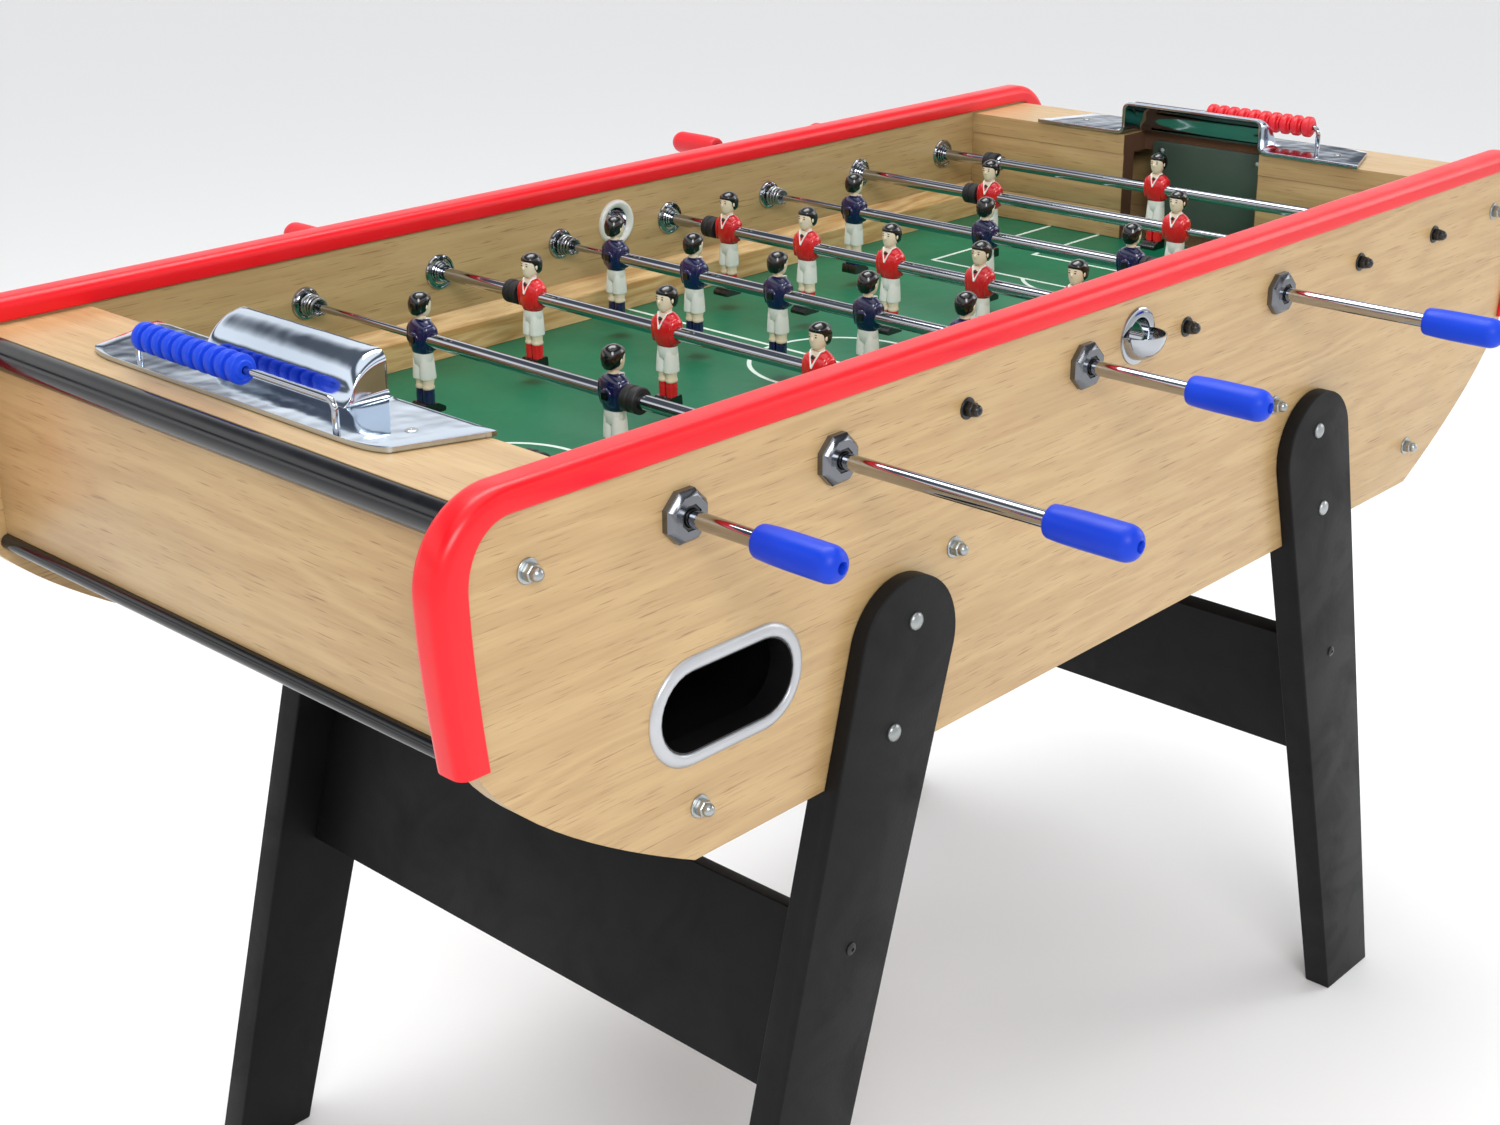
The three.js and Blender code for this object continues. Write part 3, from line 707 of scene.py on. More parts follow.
def panel_outline():
    start, end = Vector((PANEL_HALF, SWEEP_TOP)), Vector((FLAT_END, PANEL_LOW))
    pull_out, pull_in = start - Vector((0, 55)), end + Vector((0.4 * (PANEL_HALF - FLAT_END), 38))
    sweep = []
    for k in range(17):
        t = k / 16
        sweep.append(
            (1 - t) ** 3 * start + 3 * t * (1 - t) ** 2 * pull_out + 3 * t * t * (1 - t) * pull_in + t ** 3 * end
        )
    top = rounded(
        [(-PANEL_HALF, SWEEP_TOP, 0), (-PANEL_HALF, PANEL_TOP, CORNER), (PANEL_HALF, PANEL_TOP, CORNER),
         (PANEL_HALF, SWEEP_TOP, 0)],
        steps=10, closed=False,
    )
    upright = [(PANEL_HALF, z) for z in EASE_STATIONS if z > SWEEP_TOP + 3]
    right = [*upright, *(tuple(p) for p in sweep)]
    whole = [*top[1:-1], *right, *((-x, z) for x, z in reversed(right))]
    return [leaned(x, z) for x, z in whole]


def stadium(grow, steps=14):
    """The ball return's oval hole, grown by some millimetres."""
    radius, half = RETURN_RADIUS + grow, RETURN_HALF - RETURN_RADIUS
    points = []
    for side in (1, -1):
        for k in range(steps + 1):
            angle = math.pi * (k / steps - 0.5) + (0 if side > 0 else math.pi)
            points.append((side * half + radius * math.cos(angle), radius * math.sin(angle)))
    return points


RODS = []
for body in frame["bodies"]:
    if body.endswith("_rod") and not body.endswith("_inner_rod"):
        name = body[:-4]
        handle_low = cad(f"{name}_handle")[0]
        RODS.append({"name": name, "x": cad(f"{name}_tube")[0].x + 6, "far": handle_low.y > 0})


def panel_parts(far):
    side = -1 if far else 1
    shape = board(panel_outline(), -WALL_OUT, -WALL_IN)
    drills = []
    for rod in RODS:
        radius = TUBE_HOLE if rod["far"] == far else THIN_HOLE
        profile = [(0, 0), (radius, 0), (radius, PANEL + 4), (0, PANEL + 4)]
        drills.append(turned_piece(profile, (side * rod["x"], -WALL_OUT - 2, 0)))
    serve = [(0, 0), (SERVE_RADIUS, 0), (SERVE_RADIUS, PANEL + 4), (0, PANEL + 4)]
    drills.append(turned_piece(serve, (0, -WALL_OUT - 2, SERVE_HEIGHT), sides=40))
    oval = [(x - RETURN_X, z + RETURN_Z) for x, z in stadium(0)]
    drills.append(board(oval, -WALL_OUT - 2, -WALL_IN + 2))
    return [(carved(shape, *drills), "maple_lengthwise")]


LEDGE_REACH, LEDGE_RISE, LEDGE_SLOPE = 15, 26, 12
ledge_section = rounded(
    [
        (-WALL_IN + 0.1, PITCH_TOP + GAP, 0),
        (-WALL_IN + LEDGE_REACH, PITCH_TOP + GAP, 0),
        (-WALL_IN + LEDGE_REACH, PITCH_TOP + LEDGE_RISE, 2.5),
        (-WALL_IN + 0.1, PITCH_TOP + LEDGE_RISE + LEDGE_SLOPE, 0),
    ],
)
for name, far in (("front", False), ("back", True)):
    finished(f"side_board_{name}", panel_parts(far), turned=far, hides=[f"side_panel_{name}"])
    ledge = board(ledge_section, -PITCH_HALF + GAP, PITCH_HALF - GAP, "x")
    finished(f"ledge_{name}", [(ledge, "ledge_strip")], turned=far)
print("rods", [(rod["name"], round(rod["x"]), rod["far"]) for rod in RODS])

# %% [markdown]
# The red rail trim is a U-shaped plastic extrusion pushed over the panel's edge and bent round its corners. A sweep
# suits it: one rounded U section travels along the edge, and only its lips change, from narrow along the top to
# wide down the ends.

# %% Rail trim
TRIM_WALL = TRIM_TOP - PANEL_TOP
TRIM_LIP, TOP_LIP, MID_LIP, END_LIP, CROWN = 4, 10, 17, 15.5, 8.5


def trim_path():
    """Stations along the panel's edge: place, outward direction and lip."""
    stations = []
    for z in (TRIM_LOW, TRIM_LOW + 6, *reversed(EASE_STATIONS), PANEL_TOP - CORNER):
        lean = eased(z)
        stations.append(((-PANEL_HALF + lean, z), (-1, 0), MID_LIP + (END_LIP - MID_LIP) * lean / EASE))
    steps = 16
    for k in range(1, steps):
        turn = math.pi / 2 * k / steps
        out = (-math.cos(turn), math.sin(turn))
        place = (-PANEL_HALF + CORNER + CORNER * out[0], PANEL_TOP - CORNER + CORNER * out[1])
        lip = MID_LIP + (TOP_LIP - MID_LIP) * (0.5 - 0.5 * math.cos(math.pi * k / steps))
        stations.append((place, out, lip))
    for k in range(9):
        x = (PANEL_HALF - CORNER) * (k / 8 - 1)
        stations.append(((x, PANEL_TOP), (0, 1), TOP_LIP))
    mirrored = [((-x, z), (-out[0], out[1]), lip) for (x, z), out, lip in reversed(stations[:-1])]
    return stations + mirrored


def trim_parts():
    rings = []
    half = PANEL / 2 + TRIM_LIP
    slot = PANEL / 2 + GAP
    middle_y = -(WALL_IN + WALL_OUT) / 2
    for (x, z), out, lip in trim_path():
        section = rounded(
            [
                (-half, -lip, 1.6), (-half, TRIM_WALL, CROWN), (half, TRIM_WALL, CROWN), (half, -lip, 1.6),
                (slot, -lip, 0.8), (slot, GAP, 0), (-slot, GAP, 0), (-slot, -lip, 0.8),
            ],
            steps=6,
        )
        rings.append([(x + out[0] * n, middle_y + y, z + out[1] * n) for y, n in section])
    return [(skin(rings), "red_trim_moulding")]


for name, far in (("front", False), ("back", True)):
    finished(f"rail_cap_{name}", trim_parts(), turned=far, hides=[f"rail_trim_{name}"])
print("trim stations", len(trim_path()))

# %% [markdown]
# The ends are boxes of boards: a deck with a cut-out for the goal, an end panel with black edge strips, planks that
# close the pitch on both sides of the goal, a painted rebound plate, and under it the ball channel and its tray.
# The CAD node holds them as one solid; here each board is its own piece, so that joints and grain show.

# %% End boxes
GOAL_HALF_MM, GOAL_DEPTH = 85, 45
REBOUND_HALF, REBOUND_TOP, REBOUND = 73, 30, 4
FLOOR_TOP, FLOOR_BOARD = -129, 13
DECK_LOW = DECK_TOP - DECK
PLANKS = 3


def deck_parts():
    outline = rounded(
        [
            (-END_FACE, -BOARD_HALF, 0), (-PITCH_HALF, -BOARD_HALF, 0), (-PITCH_HALF, -GOAL_HALF_MM, 0),
            (-PITCH_HALF - GOAL_DEPTH, -GOAL_HALF_MM, 2), (-PITCH_HALF - GOAL_DEPTH, GOAL_HALF_MM, 2),
            (-PITCH_HALF, GOAL_HALF_MM, 0), (-PITCH_HALF, BOARD_HALF, 0), (-END_FACE, BOARD_HALF, 0),
        ],
        steps=3,
    )
    core = board([(x, y) for x, y in outline], DECK_LOW, DECK_TOP - 1, "z")
    veneer = board([(x, y) for x, y in outline], DECK_TOP - 1, DECK_TOP, "z")
    front = [
        bar((-PITCH_HALF, y0, DECK_LOW), (-PITCH_HALF + 0.8, y1, DECK_TOP - 0.2))
        for y0, y1 in ((-BOARD_HALF, -GOAL_HALF_MM), (GOAL_HALF_MM, BOARD_HALF))
    ]
    return [(veneer, "maple_crosswise"), (core, "raw_fibreboard_edge"), (joined(*front), "maple_crosswise")]


def goal_wall_parts():
    low, high = PITCH_TOP + GAP, DECK_LOW
    tall = (high - low) / PLANKS
    planks = []
    for y0, y1 in ((-BOARD_HALF, -GOAL_HALF_MM), (GOAL_HALF_MM, BOARD_HALF)):
        for k in range(PLANKS):
            z = low + k * tall
            planks.append(bar((-PITCH_HALF - END_WALL, y0, z + 0.2), (-PITCH_HALF, y1, z + tall - 0.2)))
    return [(joined(*planks), "maple_crosswise")]


def goal_jamb_parts():
    jambs = []
    for side in (-1, 1):
        y0, y1 = sorted((side * GOAL_HALF_MM, side * (GOAL_HALF_MM - 0.8)))
        jambs.append(bar((-PITCH_HALF - END_WALL, y0, PITCH_TOP + GAP), (-PITCH_HALF - 0.5, y1, DECK_TOP - 1.2)))
    return [(joined(*jambs), "raw_fibreboard_edge")]


def rebound_parts():
    x = -PITCH_HALF - GOAL_DEPTH
    low = PITCH_TOP + 8
    corners = [(-REBOUND_HALF, low, 3), (REBOUND_HALF, low, 3), (REBOUND_HALF, REBOUND_TOP, 6),
               (-REBOUND_HALF, REBOUND_TOP, 6)]
    plate = board(rounded(corners), x, x + REBOUND, "x")
    rivet = turned_piece([(0, 2.2), (2, 1.9), (3.6, 0.9), (4, 0), (4, -1), (0, -1)][::-1], axis=(1, 0, 0), sides=20)
    start = (x + REBOUND, -REBOUND_HALF + 12, REBOUND_TOP - 11)
    return [(plate, "rebound_paint"), row(rivet, "zinc", 2, start, (0, 2 * REBOUND_HALF - 24, 0))]


def end_panel_parts():
    return [(bar((-END_FACE, -BOARD_HALF, FLOOR_TOP), (-END_FACE + END_WALL, BOARD_HALF, DECK_LOW)),
             "maple_crosswise")]


def half_round(x, z, radius, half_length):
    """A strip with a half-round face, glued on an edge that faces -X."""
    face = [(x - radius * math.cos(a), z + radius * math.sin(a)) for a in
            (math.pi * (k / 14 - 0.5) for k in range(15))]
    return board([*face, (x + 0.1, z + radius), (x + 0.1, z - radius)], -half_length, half_length)


def strip_parts():
    reach = WALL_IN - TRIM_LIP - GAP
    upper = half_round(-END_FACE, DECK_TOP - 13.5, 12.8, reach)
    lower = half_round(-END_FACE, FLOOR_TOP - FLOOR_BOARD / 2, 6.5, WALL_IN - 1)
    return [(joined(upper, lower), "black_gloss_strip")]


TRAY_X0, TRAY_X1 = -RETURN_X - RETURN_HALF - 12, -RETURN_X + RETURN_HALF + 12
TRAY_LOW, TRAY_TOP, TRAY_BACK, TRAY_WALL = RETURN_Z - RETURN_RADIUS - 17, -96, -BOARD_HALF + 92, 5


def ball_box_parts():
    floor_board = bar(
        (-END_FACE, -BOARD_HALF, FLOOR_TOP - FLOOR_BOARD), (TRAY_X0 + TRAY_WALL, BOARD_HALF, FLOOR_TOP),
    )
    hollow = bar(
        (TRAY_X0 + 2 * TRAY_WALL, -BOARD_HALF - 3, TRAY_LOW + TRAY_WALL),
        (TRAY_X1 - TRAY_WALL, TRAY_BACK - TRAY_WALL, TRAY_TOP + 3),
    )
    way_in = bar((TRAY_X0 - 3, -BOARD_HALF - 3, FLOOR_TOP), (TRAY_X0 + 15, TRAY_BACK - TRAY_WALL, TRAY_TOP + 3))
    tray = carved(bar((TRAY_X0 + TRAY_WALL, -BOARD_HALF, TRAY_LOW), (TRAY_X1, TRAY_BACK, TRAY_TOP)), hollow)
    tray = carved(tray, way_in)
    return [(floor_board, "black_laminate"), (tray, "black_moulding")]


at_both_ends("end_deck", deck_parts, hides=(["end_box_left"], ["end_box_right"]))
at_both_ends("goal_wall", goal_wall_parts, bevel=0.5)
at_both_ends("goal_jambs", goal_jamb_parts)
at_both_ends("rebound_plate", rebound_parts, bevel=0.5)
at_both_ends("end_panel", end_panel_parts, bevel=0.5)
at_both_ends("edge_strips", strip_parts)
at_both_ends("ball_box", ball_box_parts)
print("deck top", round(DECK_TOP, 1), "end face", round(END_FACE, 1))

# %% [markdown]
# The goal cover is one chromed casting: a thin plate that rises into a hood over the ball, open towards the pitch.
# It could be built from a box with bevels, but the hood flows into the plate, so it is drawn as a grid: one section
# across the table, and a height that falls off along it in a quarter round. Solidify gives the sheet its wall.

# %% Goal covers
COVER_FRONT = cad("goal_cover_left")[1].x
COVER_PLATE, COVER_DEPTH, COVER_HALF = 4, 77, 200
PLATE_TOP = DECK_TOP + GAP + COVER_PLATE
HOOD_HALF, HOOD_RISE, HOOD_CORNER, HOOD_FLARE = 87, 33, 9, 7
SLANT_END, SLANT_HALF, BACK_HALF = 66, 176, 138


def hood_section():
    """Half section across the hood: distance from the middle, height above the plate."""
    outline = rounded(
        [(0, HOOD_RISE, 0), (HOOD_HALF, HOOD_RISE, HOOD_CORNER), (HOOD_HALF, 0, HOOD_FLARE),
         (HOOD_HALF + 12, 0, 0)],
        steps=7, closed=False,
    )
    inner = [(HOOD_HALF * k / 6, HOOD_RISE) for k in range(1, 6)]
    return [outline[0], *inner, *outline[1:]]


def cover_half_width(depth):
    if depth <= SLANT_END:
        return COVER_HALF + (SLANT_HALF - COVER_HALF) * depth / SLANT_END
    share = (depth - SLANT_END) / (COVER_DEPTH - SLANT_END)
    return BACK_HALF + (SLANT_HALF - BACK_HALF) * math.sqrt(max(0, 1 - share * share))


def hood_height(depth):
    """The quarter round's height along the depth, as a share of the rise, with a flared foot."""
    curve, foot, tail = 32, 29, 10
    if depth < foot:
        return math.sqrt(1 - (depth / curve) ** 2)
    edge = math.sqrt(1 - (foot / curve) ** 2)
    return edge * max(0, 1 - (depth - foot) / tail) ** 2


def cover_sheet():
    section = hood_section()
    depths = [32 * math.sin(math.pi / 2 * k / 14) for k in range(13)] + [30, 31.5, 33, 35, 37, 39, 46, 56, 66]
    depths += [SLANT_END + (COVER_DEPTH - SLANT_END) * math.sin(math.pi / 2 * k / 6) for k in range(1, 7)]
    bm = bmesh.new()
    rows = []
    for depth in sorted(set(round(d, 3) for d in depths)):
        half = [(y, PLATE_TOP + h * hood_height(depth)) for y, h in section]
        start, end = section[-1][0], cover_half_width(depth)
        half += [(start + (end - start) * k / 6, PLATE_TOP) for k in range(1, 7)]
        points = [(-y, z) for y, z in reversed(half[1:])] + half
        rows.append([bm.verts.new((COVER_FRONT - depth, y, z)) for y, z in points])
    for low, high in zip(rows, rows[1:]):
        for i in range(len(low) - 1):
            bm.faces.new((low[i], high[i], high[i + 1], low[i + 1]))
    bmesh.ops.recalc_face_normals(bm, faces=bm.faces)
    if sum(face.normal.z for face in bm.faces) < 0:
        bmesh.ops.reverse_faces(bm, faces=bm.faces)
    sheet = to_mesh(bm)
    return through_modifier(sheet, "SOLIDIFY", thickness=COVER_PLATE - 0.4, offset=-1, use_even_offset=True)


RAIL_X, RAIL_RADIUS = COVER_FRONT - 67, 2.5
RAIL_HALF, RAIL_Z = 120 - RAIL_RADIUS, PLATE_TOP + 19


def score_rail():
    path = rounded(
        [(-RAIL_HALF, PLATE_TOP - 2, 0), (-RAIL_HALF, RAIL_Z, 7), (RAIL_HALF, RAIL_Z, 7),
         (RAIL_HALF, PLATE_TOP - 2, 0)],
        steps=6, closed=False,
    )
    return swept([(RAIL_X, y, z) for y, z in path], RAIL_RADIUS)


def cover_parts():
    screw = turned_piece([(0, -1), (4.6, -1), (4.6, 0.2), (3.4, 0.9), (1.2, 1.0), (1.0, 0.3), (0, 0.3)],
                         axis=(0, 0, 1), sides=20)
    screws = row(screw, "zinc", 2, (COVER_FRONT - 37, -158, PLATE_TOP), (0, 316, 0))
    return [(cover_sheet(), "cast_chrome"), (score_rail(), "rod_chrome"), screws]


at_both_ends("hooded_cover", cover_parts, bevel=0.6, sharp=40,
             hides=(["goal_cover_left"], ["goal_cover_right"]))

# %% [markdown]
# Ten plastic discs on each rail keep the score. They are a row from the tree above, and each row rides on the body
# that slides along the rail.

# %% Score beads
BEAD_RADIUS, BEAD_PITCH, BEADS = 11, 13, 10
bead_profile = rounded(
    [(RAIL_RADIUS + 0.4, 0.3, 0.3), (6.5, 0.3, 1), (7.2, 2.2, 1), (BEAD_RADIUS, 3.0, 2), (BEAD_RADIUS, 10, 2),
     (7.2, 10.8, 1), (6.5, 12.7, 1), (RAIL_RADIUS + 0.4, 12.7, 0.3)],
    steps=3,
)
for side, finish in (("left", "blue_grip"), ("right", "red_grip")):
    low, high = cad(f"score_beads_{side}")
    centre = (low + high) / 2
    bead = turned_piece([*bead_profile, bead_profile[0]], sides=28)
    discs = row(bead, finish, BEADS, (centre.x, low.y, RAIL_Z), (0, BEAD_PITCH, 0))
    finished(f"score_discs_{side}", [discs], body=f"score_beads_{side}", hides=[f"score_beads_{side}"])
print("beads", 2 * BEADS)

# %% [markdown]
# Rods. Each is a thin inner rod fixed across the table and a chromed tube that slides over it, with a handle, rubber
# bumpers and players. The inner rod's collar holds the buffer spring, so both ride on the inner rod's body. Pieces
# are drawn with the handle towards -Y and turned half round for the far side, as the real rods are.

# %% Rods and handles
TUBE_RADIUS, THIN_RADIUS, GRIP_RADIUS, SOCKET = 6.0, 3.2, 12.5, 48
MAN_HALF, BUMPER = 14, 16
KEEPER_BUMPER = 220


def rod_span(rod, part):
    """Low and high end of a rod's part along its own Y, with the handle towards -Y."""
    return sorted((-1 if rod["far"] else 1) * corner.y for corner in cad(f"{rod['name']}_{part}"))


def grip_shape(start):
    dome = [(GRIP_RADIUS * math.cos(a) ** 0.75, 56.5 + 11.5 * math.sin(a)) for a in
            (math.pi / 2 * k / 11 for k in range(10))]
    profile = [
        (0, SOCKET), (TUBE_RADIUS + 0.25, SOCKET), (TUBE_RADIUS + 0.25, 0), (9.6, 0), (10.9, 0.5), (11.5, 1.8),
        (11.8, 5), (12.2, 12), (GRIP_RADIUS, 26), (GRIP_RADIUS, 44), *dome, (4.4, 67.9), (3.7, 67.0), (3.5, 58),
        (0, 58),
    ]
    return turned_piece(profile, (0, start, 0), (0, -1, 0), sides=40)


def bumper_shape(start):
    profile = [(6.15, 0), (9.6, 0), (10.6, 1), (10.6, 6), (9.4, 7), (9.4, 8.6), (10.6, 9.6), (10.6, 15), (9.6, 16),
               (6.15, 16), (6.15, 0)]
    return turned_piece(profile, (0, start, 0), sides=36)


def tube_shape(low, high):
    bore = THIN_RADIUS + 0.4
    return turned_piece(
        [(bore, low), (TUBE_RADIUS, low), (TUBE_RADIUS, high - 0.8), (TUBE_RADIUS - 0.8, high), (bore, high),
         (bore, low)],
        sides=40,
    )


def inner_rod_shape(low, high):
    collar = WALL_IN - GAP
    return turned_piece(
        [(0, low), (THIN_RADIUS, low), (THIN_RADIUS, collar - 8), (5.6, collar - 8), (6.2, collar - 7.4),
         (6.4, collar - 2.4), (10.2, collar - 2.2), (11, collar - 1.6), (11, collar), (THIN_RADIUS, collar),
         (THIN_RADIUS, high), (0, high)],
        sides=28,
    )


for rod in RODS:
    name, place = rod["name"], dict(at=(rod["x"], 0, 0), turned=rod["far"])
    finish = "red_grip" if rod["far"] else "blue_grip"
    tube_low, tube_high = rod_span(rod, "tube")
    grip_high = rod_span(rod, "handle")[1]
    thin_low, thin_high = rod_span(rod, "inner_rod")
    finished(
        f"{name}_sleeve", [(tube_shape(tube_low, tube_high), "rod_chrome")], body=f"{name}_rod",
        hides=[f"{name}_tube"], **place,
    )
    finished(
        f"{name}_grip", [(grip_shape(grip_high), finish)], body=f"{name}_rod", sharp=50, hides=[f"{name}_handle"],
        **place,
    )
    spring = from_tree(spring_tree, Turns=4.2, Wall_Radius=9.4, Free_Radius=7.0, Length=15.9, Wire_Radius=1.2,
                       Finish=FINISH["spring_wire"][0])
    spring.transform(Matrix.Translation((0, WALL_IN - GAP - 5.0, 0)))
    finished(
        f"{name}_thin_rod", [(inner_rod_shape(thin_low, thin_high), "rod_chrome"), (spring, "spring_wire")],
        body=f"{name}_inner_rod", hides=[f"{name}_inner_rod"], **place,
    )
    men = sorted(sum(rod_span(rod, part[len(name) + 1:])) / 2 for part in NODES if part.startswith(f"{name}_player"))
    rod["men"] = men
    rubbers = [bumper_shape(men[0] - (KEEPER_BUMPER + BUMPER / 2 if len(men) == 1 else MAN_HALF + BUMPER))]
    bush = turned_piece(
        [(6.05, 0), (7.0, 0.3), (7.2, 1), (7.2, 5), (6.8, 5.8), (6.05, 6), (6.05, 0)],
        (0, tube_high - 6.5, 0), sides=28,
    )
    parts = [(joined(*rubbers, bush), "rubber")]
    if len(men) == 1:
        ring = [(6.05, 0), (8, 0.2), (8.4, 1), (8.4, 4.4), (8, 5.2), (6.05, 5.4), (6.05, 0)]
        parts.append((turned_piece(ring, (0, men[0] - KEEPER_BUMPER + BUMPER / 2 + 0.5, 0), sides=28), "rod_chrome"))
    finished(f"{name}_bumpers", parts, body=f"{name}_rod", **place)
print("players on each rod", [len(rod["men"]) for rod in RODS])

# %% [markdown]
# The players are small moulded figures with painted clothes: a barrel chest round the tube, shorts, knees, socks and
# block boots. They could be sculpted, but lofts through a few rounded sections give the same smooth moulded forms and
# stay light enough to repeat 22 times. Each colour is one shape, so that its paint ends at a crisp edge. The head is
# a plain doll's head.

# %% Player figures
def loft(sections, sides=20, power=2.5, shift=0.0):
    """Sections of (height, half width in Y, half depth in X, centre in X), closed by poles."""
    rings = []
    for z, wide, deep, x in sections:
        ring = []
        for k in range(sides):
            c, s = math.cos(2 * math.pi * k / sides), math.sin(2 * math.pi * k / sides)
            ring.append((
                x + deep * math.copysign(abs(c) ** (2 / power), c),
                shift + wide * math.copysign(abs(s) ** (2 / power), s), z,
            ))
        rings.append(ring)
    (low, *_, low_x), (high, *_, high_x) = sections[0], sections[-1]
    return skin([[(low_x, shift, low)], *rings, [(high_x, shift, high)]], cap=False)


def both_sides(sections, apart, **facts):
    return joined(loft(sections, shift=-apart, **facts), loft(sections, shift=apart, **facts))


def blob(centre, size, sides=10):
    x, y, z = centre
    heights = [(-1, 0.05), (-0.8, 0.6), (-0.4, 0.92), (0, 1), (0.4, 0.92), (0.8, 0.6), (1, 0.05)]
    return loft([(z + size[2] * h, size[1] * w, size[0] * w, x) for h, w in heights], sides, 2.0, shift=y)


HEAD = [
    (17.8, 2.4, 3.0, 3.3), (18.6, 3.9, 4.9, 2.5), (20.5, 5.3, 6.6, 1.5), (23.5, 6.5, 7.7, 0.9),
    (27, 7.2, 8.2, 0.6), (30.5, 7.4, 8.4, 0.3), (34, 6.7, 7.6, 0.0), (36.6, 4.8, 5.6, -0.2), (38, 2.0, 2.4, -0.3),
]
HAIR = [
    (20.5, 4.6, 3.6, -4.4), (23, 7.0, 6.2, -3.1), (26, 8.0, 7.4, -2.3), (29.6, 8.3, 8.2, -1.8), (31.4, 8.3, 8.6, -1.1),
    (32.8, 8.1, 9.0, -0.1), (34.8, 7.5, 8.6, 0.0), (36.8, 5.9, 6.9, -0.2), (38.4, 3.4, 4.2, -0.4),
    (39.1, 1.2, 1.5, -0.5),
]
CHEST = [
    (-12.6, 8.4, 6.2, 0), (-12, 9.4, 7.1, 0), (-9, 10.4, 8.0, 0.1), (-5, 11.8, 9.1, 0.3), (0, 12.8, 9.5, 0.4),
    (6, 13.4, 9.3, 0.3), (10.5, 12.9, 8.3, 0.1), (13.6, 10.4, 6.8, -0.2), (15.8, 6.8, 5.2, -0.3),
    (16.6, 4.8, 4.3, -0.3),
]
SLEEVE = [
    (-9.8, 1.8, 3.4, 0.9), (-8.9, 3.0, 5.4, 0.8), (-4, 3.5, 6.8, 0.7), (2, 3.7, 7.6, 0.5), (7.5, 3.7, 7.2, 0.3),
    (11.0, 3.0, 5.4, 0.1), (12.6, 1.4, 2.8, 0),
]
SEAT = [(-25, 5.5, 4.5, 0), (-22, 8.9, 6.8, 0), (-15, 9.3, 7.1, 0), (-10.5, 8.8, 6.6, 0)]
SHORT_LEG = [
    (-35, 3.9, 5.5, 0.2), (-34.6, 5.2, 7.2, 0.2), (-33, 5.3, 7.4, 0.2), (-24, 4.9, 6.8, 0.1), (-16, 4.2, 6.2, 0),
    (-13, 3.0, 5.0, 0),
]
KNEE = [
    (-44.2, 3.1, 4.0, 0.2), (-43.4, 4.3, 5.3, 0.2), (-41.6, 4.5, 5.5, 0.2), (-40.6, 4.0, 4.9, 0.1),
    (-38, 4.0, 5.0, 0.3), (-34.5, 4.3, 5.5, 0.4), (-31, 4.2, 5.2, 0.1),
]
SOCK = [(-57.5, 4.0, 4.9, 0), (-50, 4.2, 5.1, 0), (-45, 4.1, 4.9, 0.1), (-43.4, 3.9, 4.7, 0.2)]


def boots():
    side_view = rounded(
        [(-8, -64.6, 1.2), (13.6, -64.6, 1.4), (14, -60.6, 1.8), (6.2, -56.4, 2), (-7.2, -55, 1.6)], steps=3,
    )
    return joined(*(board(side_view, y - 4.4, y + 4.4) for y in (-4.6, 4.6)))


def neck_and_bib():
    """The neck with the V of skin or collar that shows at the shirt's front."""
    neck = loft([(12, 4.4, 4.2, -0.3), (15.5, 4.4, 4.2, -0.3), (18, 4.0, 4.2, 0), (21, 4.4, 4.6, 0.4)])
    low, high = 4.2, 16.4
    front, back = [], []
    for y, z in ((-0.4, low), (0.4, low), (4.6, high), (-4.6, high)):
        front.append((10.4 if z == low else 5.6, y, z))
        back.append((0, y, z))
    return joined(neck, skin([back, front]))


def bolt_pad():
    pad = turned_piece([(0, 0), (5.6, 0), (5.6, 2.4), (4.6, 3.2), (0, 3.2)], (-6.8, 0, 0.5), (-1, 0, 0), sides=20)
    return pad


def collar_edges():
    """White piping along both edges of the V."""
    return joined(*(
        swept([(10.2, 0, 3.6), (8.1, side * 2.5, 10), (5.3, side * 4.9, 16.2), (0, side * 5.6, 17.2)], 0.8, 8)
        for side in (-1, 1)
    ))


FIGURE = {
    "cream_skin": lambda: joined(
        loft(HEAD), neck_and_bib(), both_sides(KNEE, 4.3), blob((8.9, 0, 26.2), (1.3, 1.0, 2.1)),
        blob((0.6, 7.5, 27), (1.3, 0.8, 2.2)), blob((0.6, -7.5, 27), (1.3, 0.8, 2.2)),
    ),
    "black_hair": lambda: joined(
        loft(HAIR), boots(), blob((8.3, 0, 12.2), (1.3, 1.7, 2.0)),
        bar((-11.6, -2.9, -2.4), (-9.6, 2.9, 3.4)),
        *(blob((8.25, side * 3.0, 28.6), (0.5, 1.05, 0.62), 8) for side in (-1, 1)),
        *(blob((8.3, side * 3.1, 30.6), (0.5, 1.6, 0.32), 8) for side in (-1, 1)),
    ),
    "mouth_paint": lambda: blob((7.35, 0, 22.3), (0.7, 1.7, 0.38), 8),
    "white_shorts": lambda: joined(loft(SEAT), both_sides(SHORT_LEG, 4.5), collar_edges()),
    "shirt": lambda: joined(loft(CHEST, 28, 2.5), both_sides(SLEEVE, 10.1), bolt_pad()),
    "sock": lambda: both_sides(SOCK, 4.3),
}
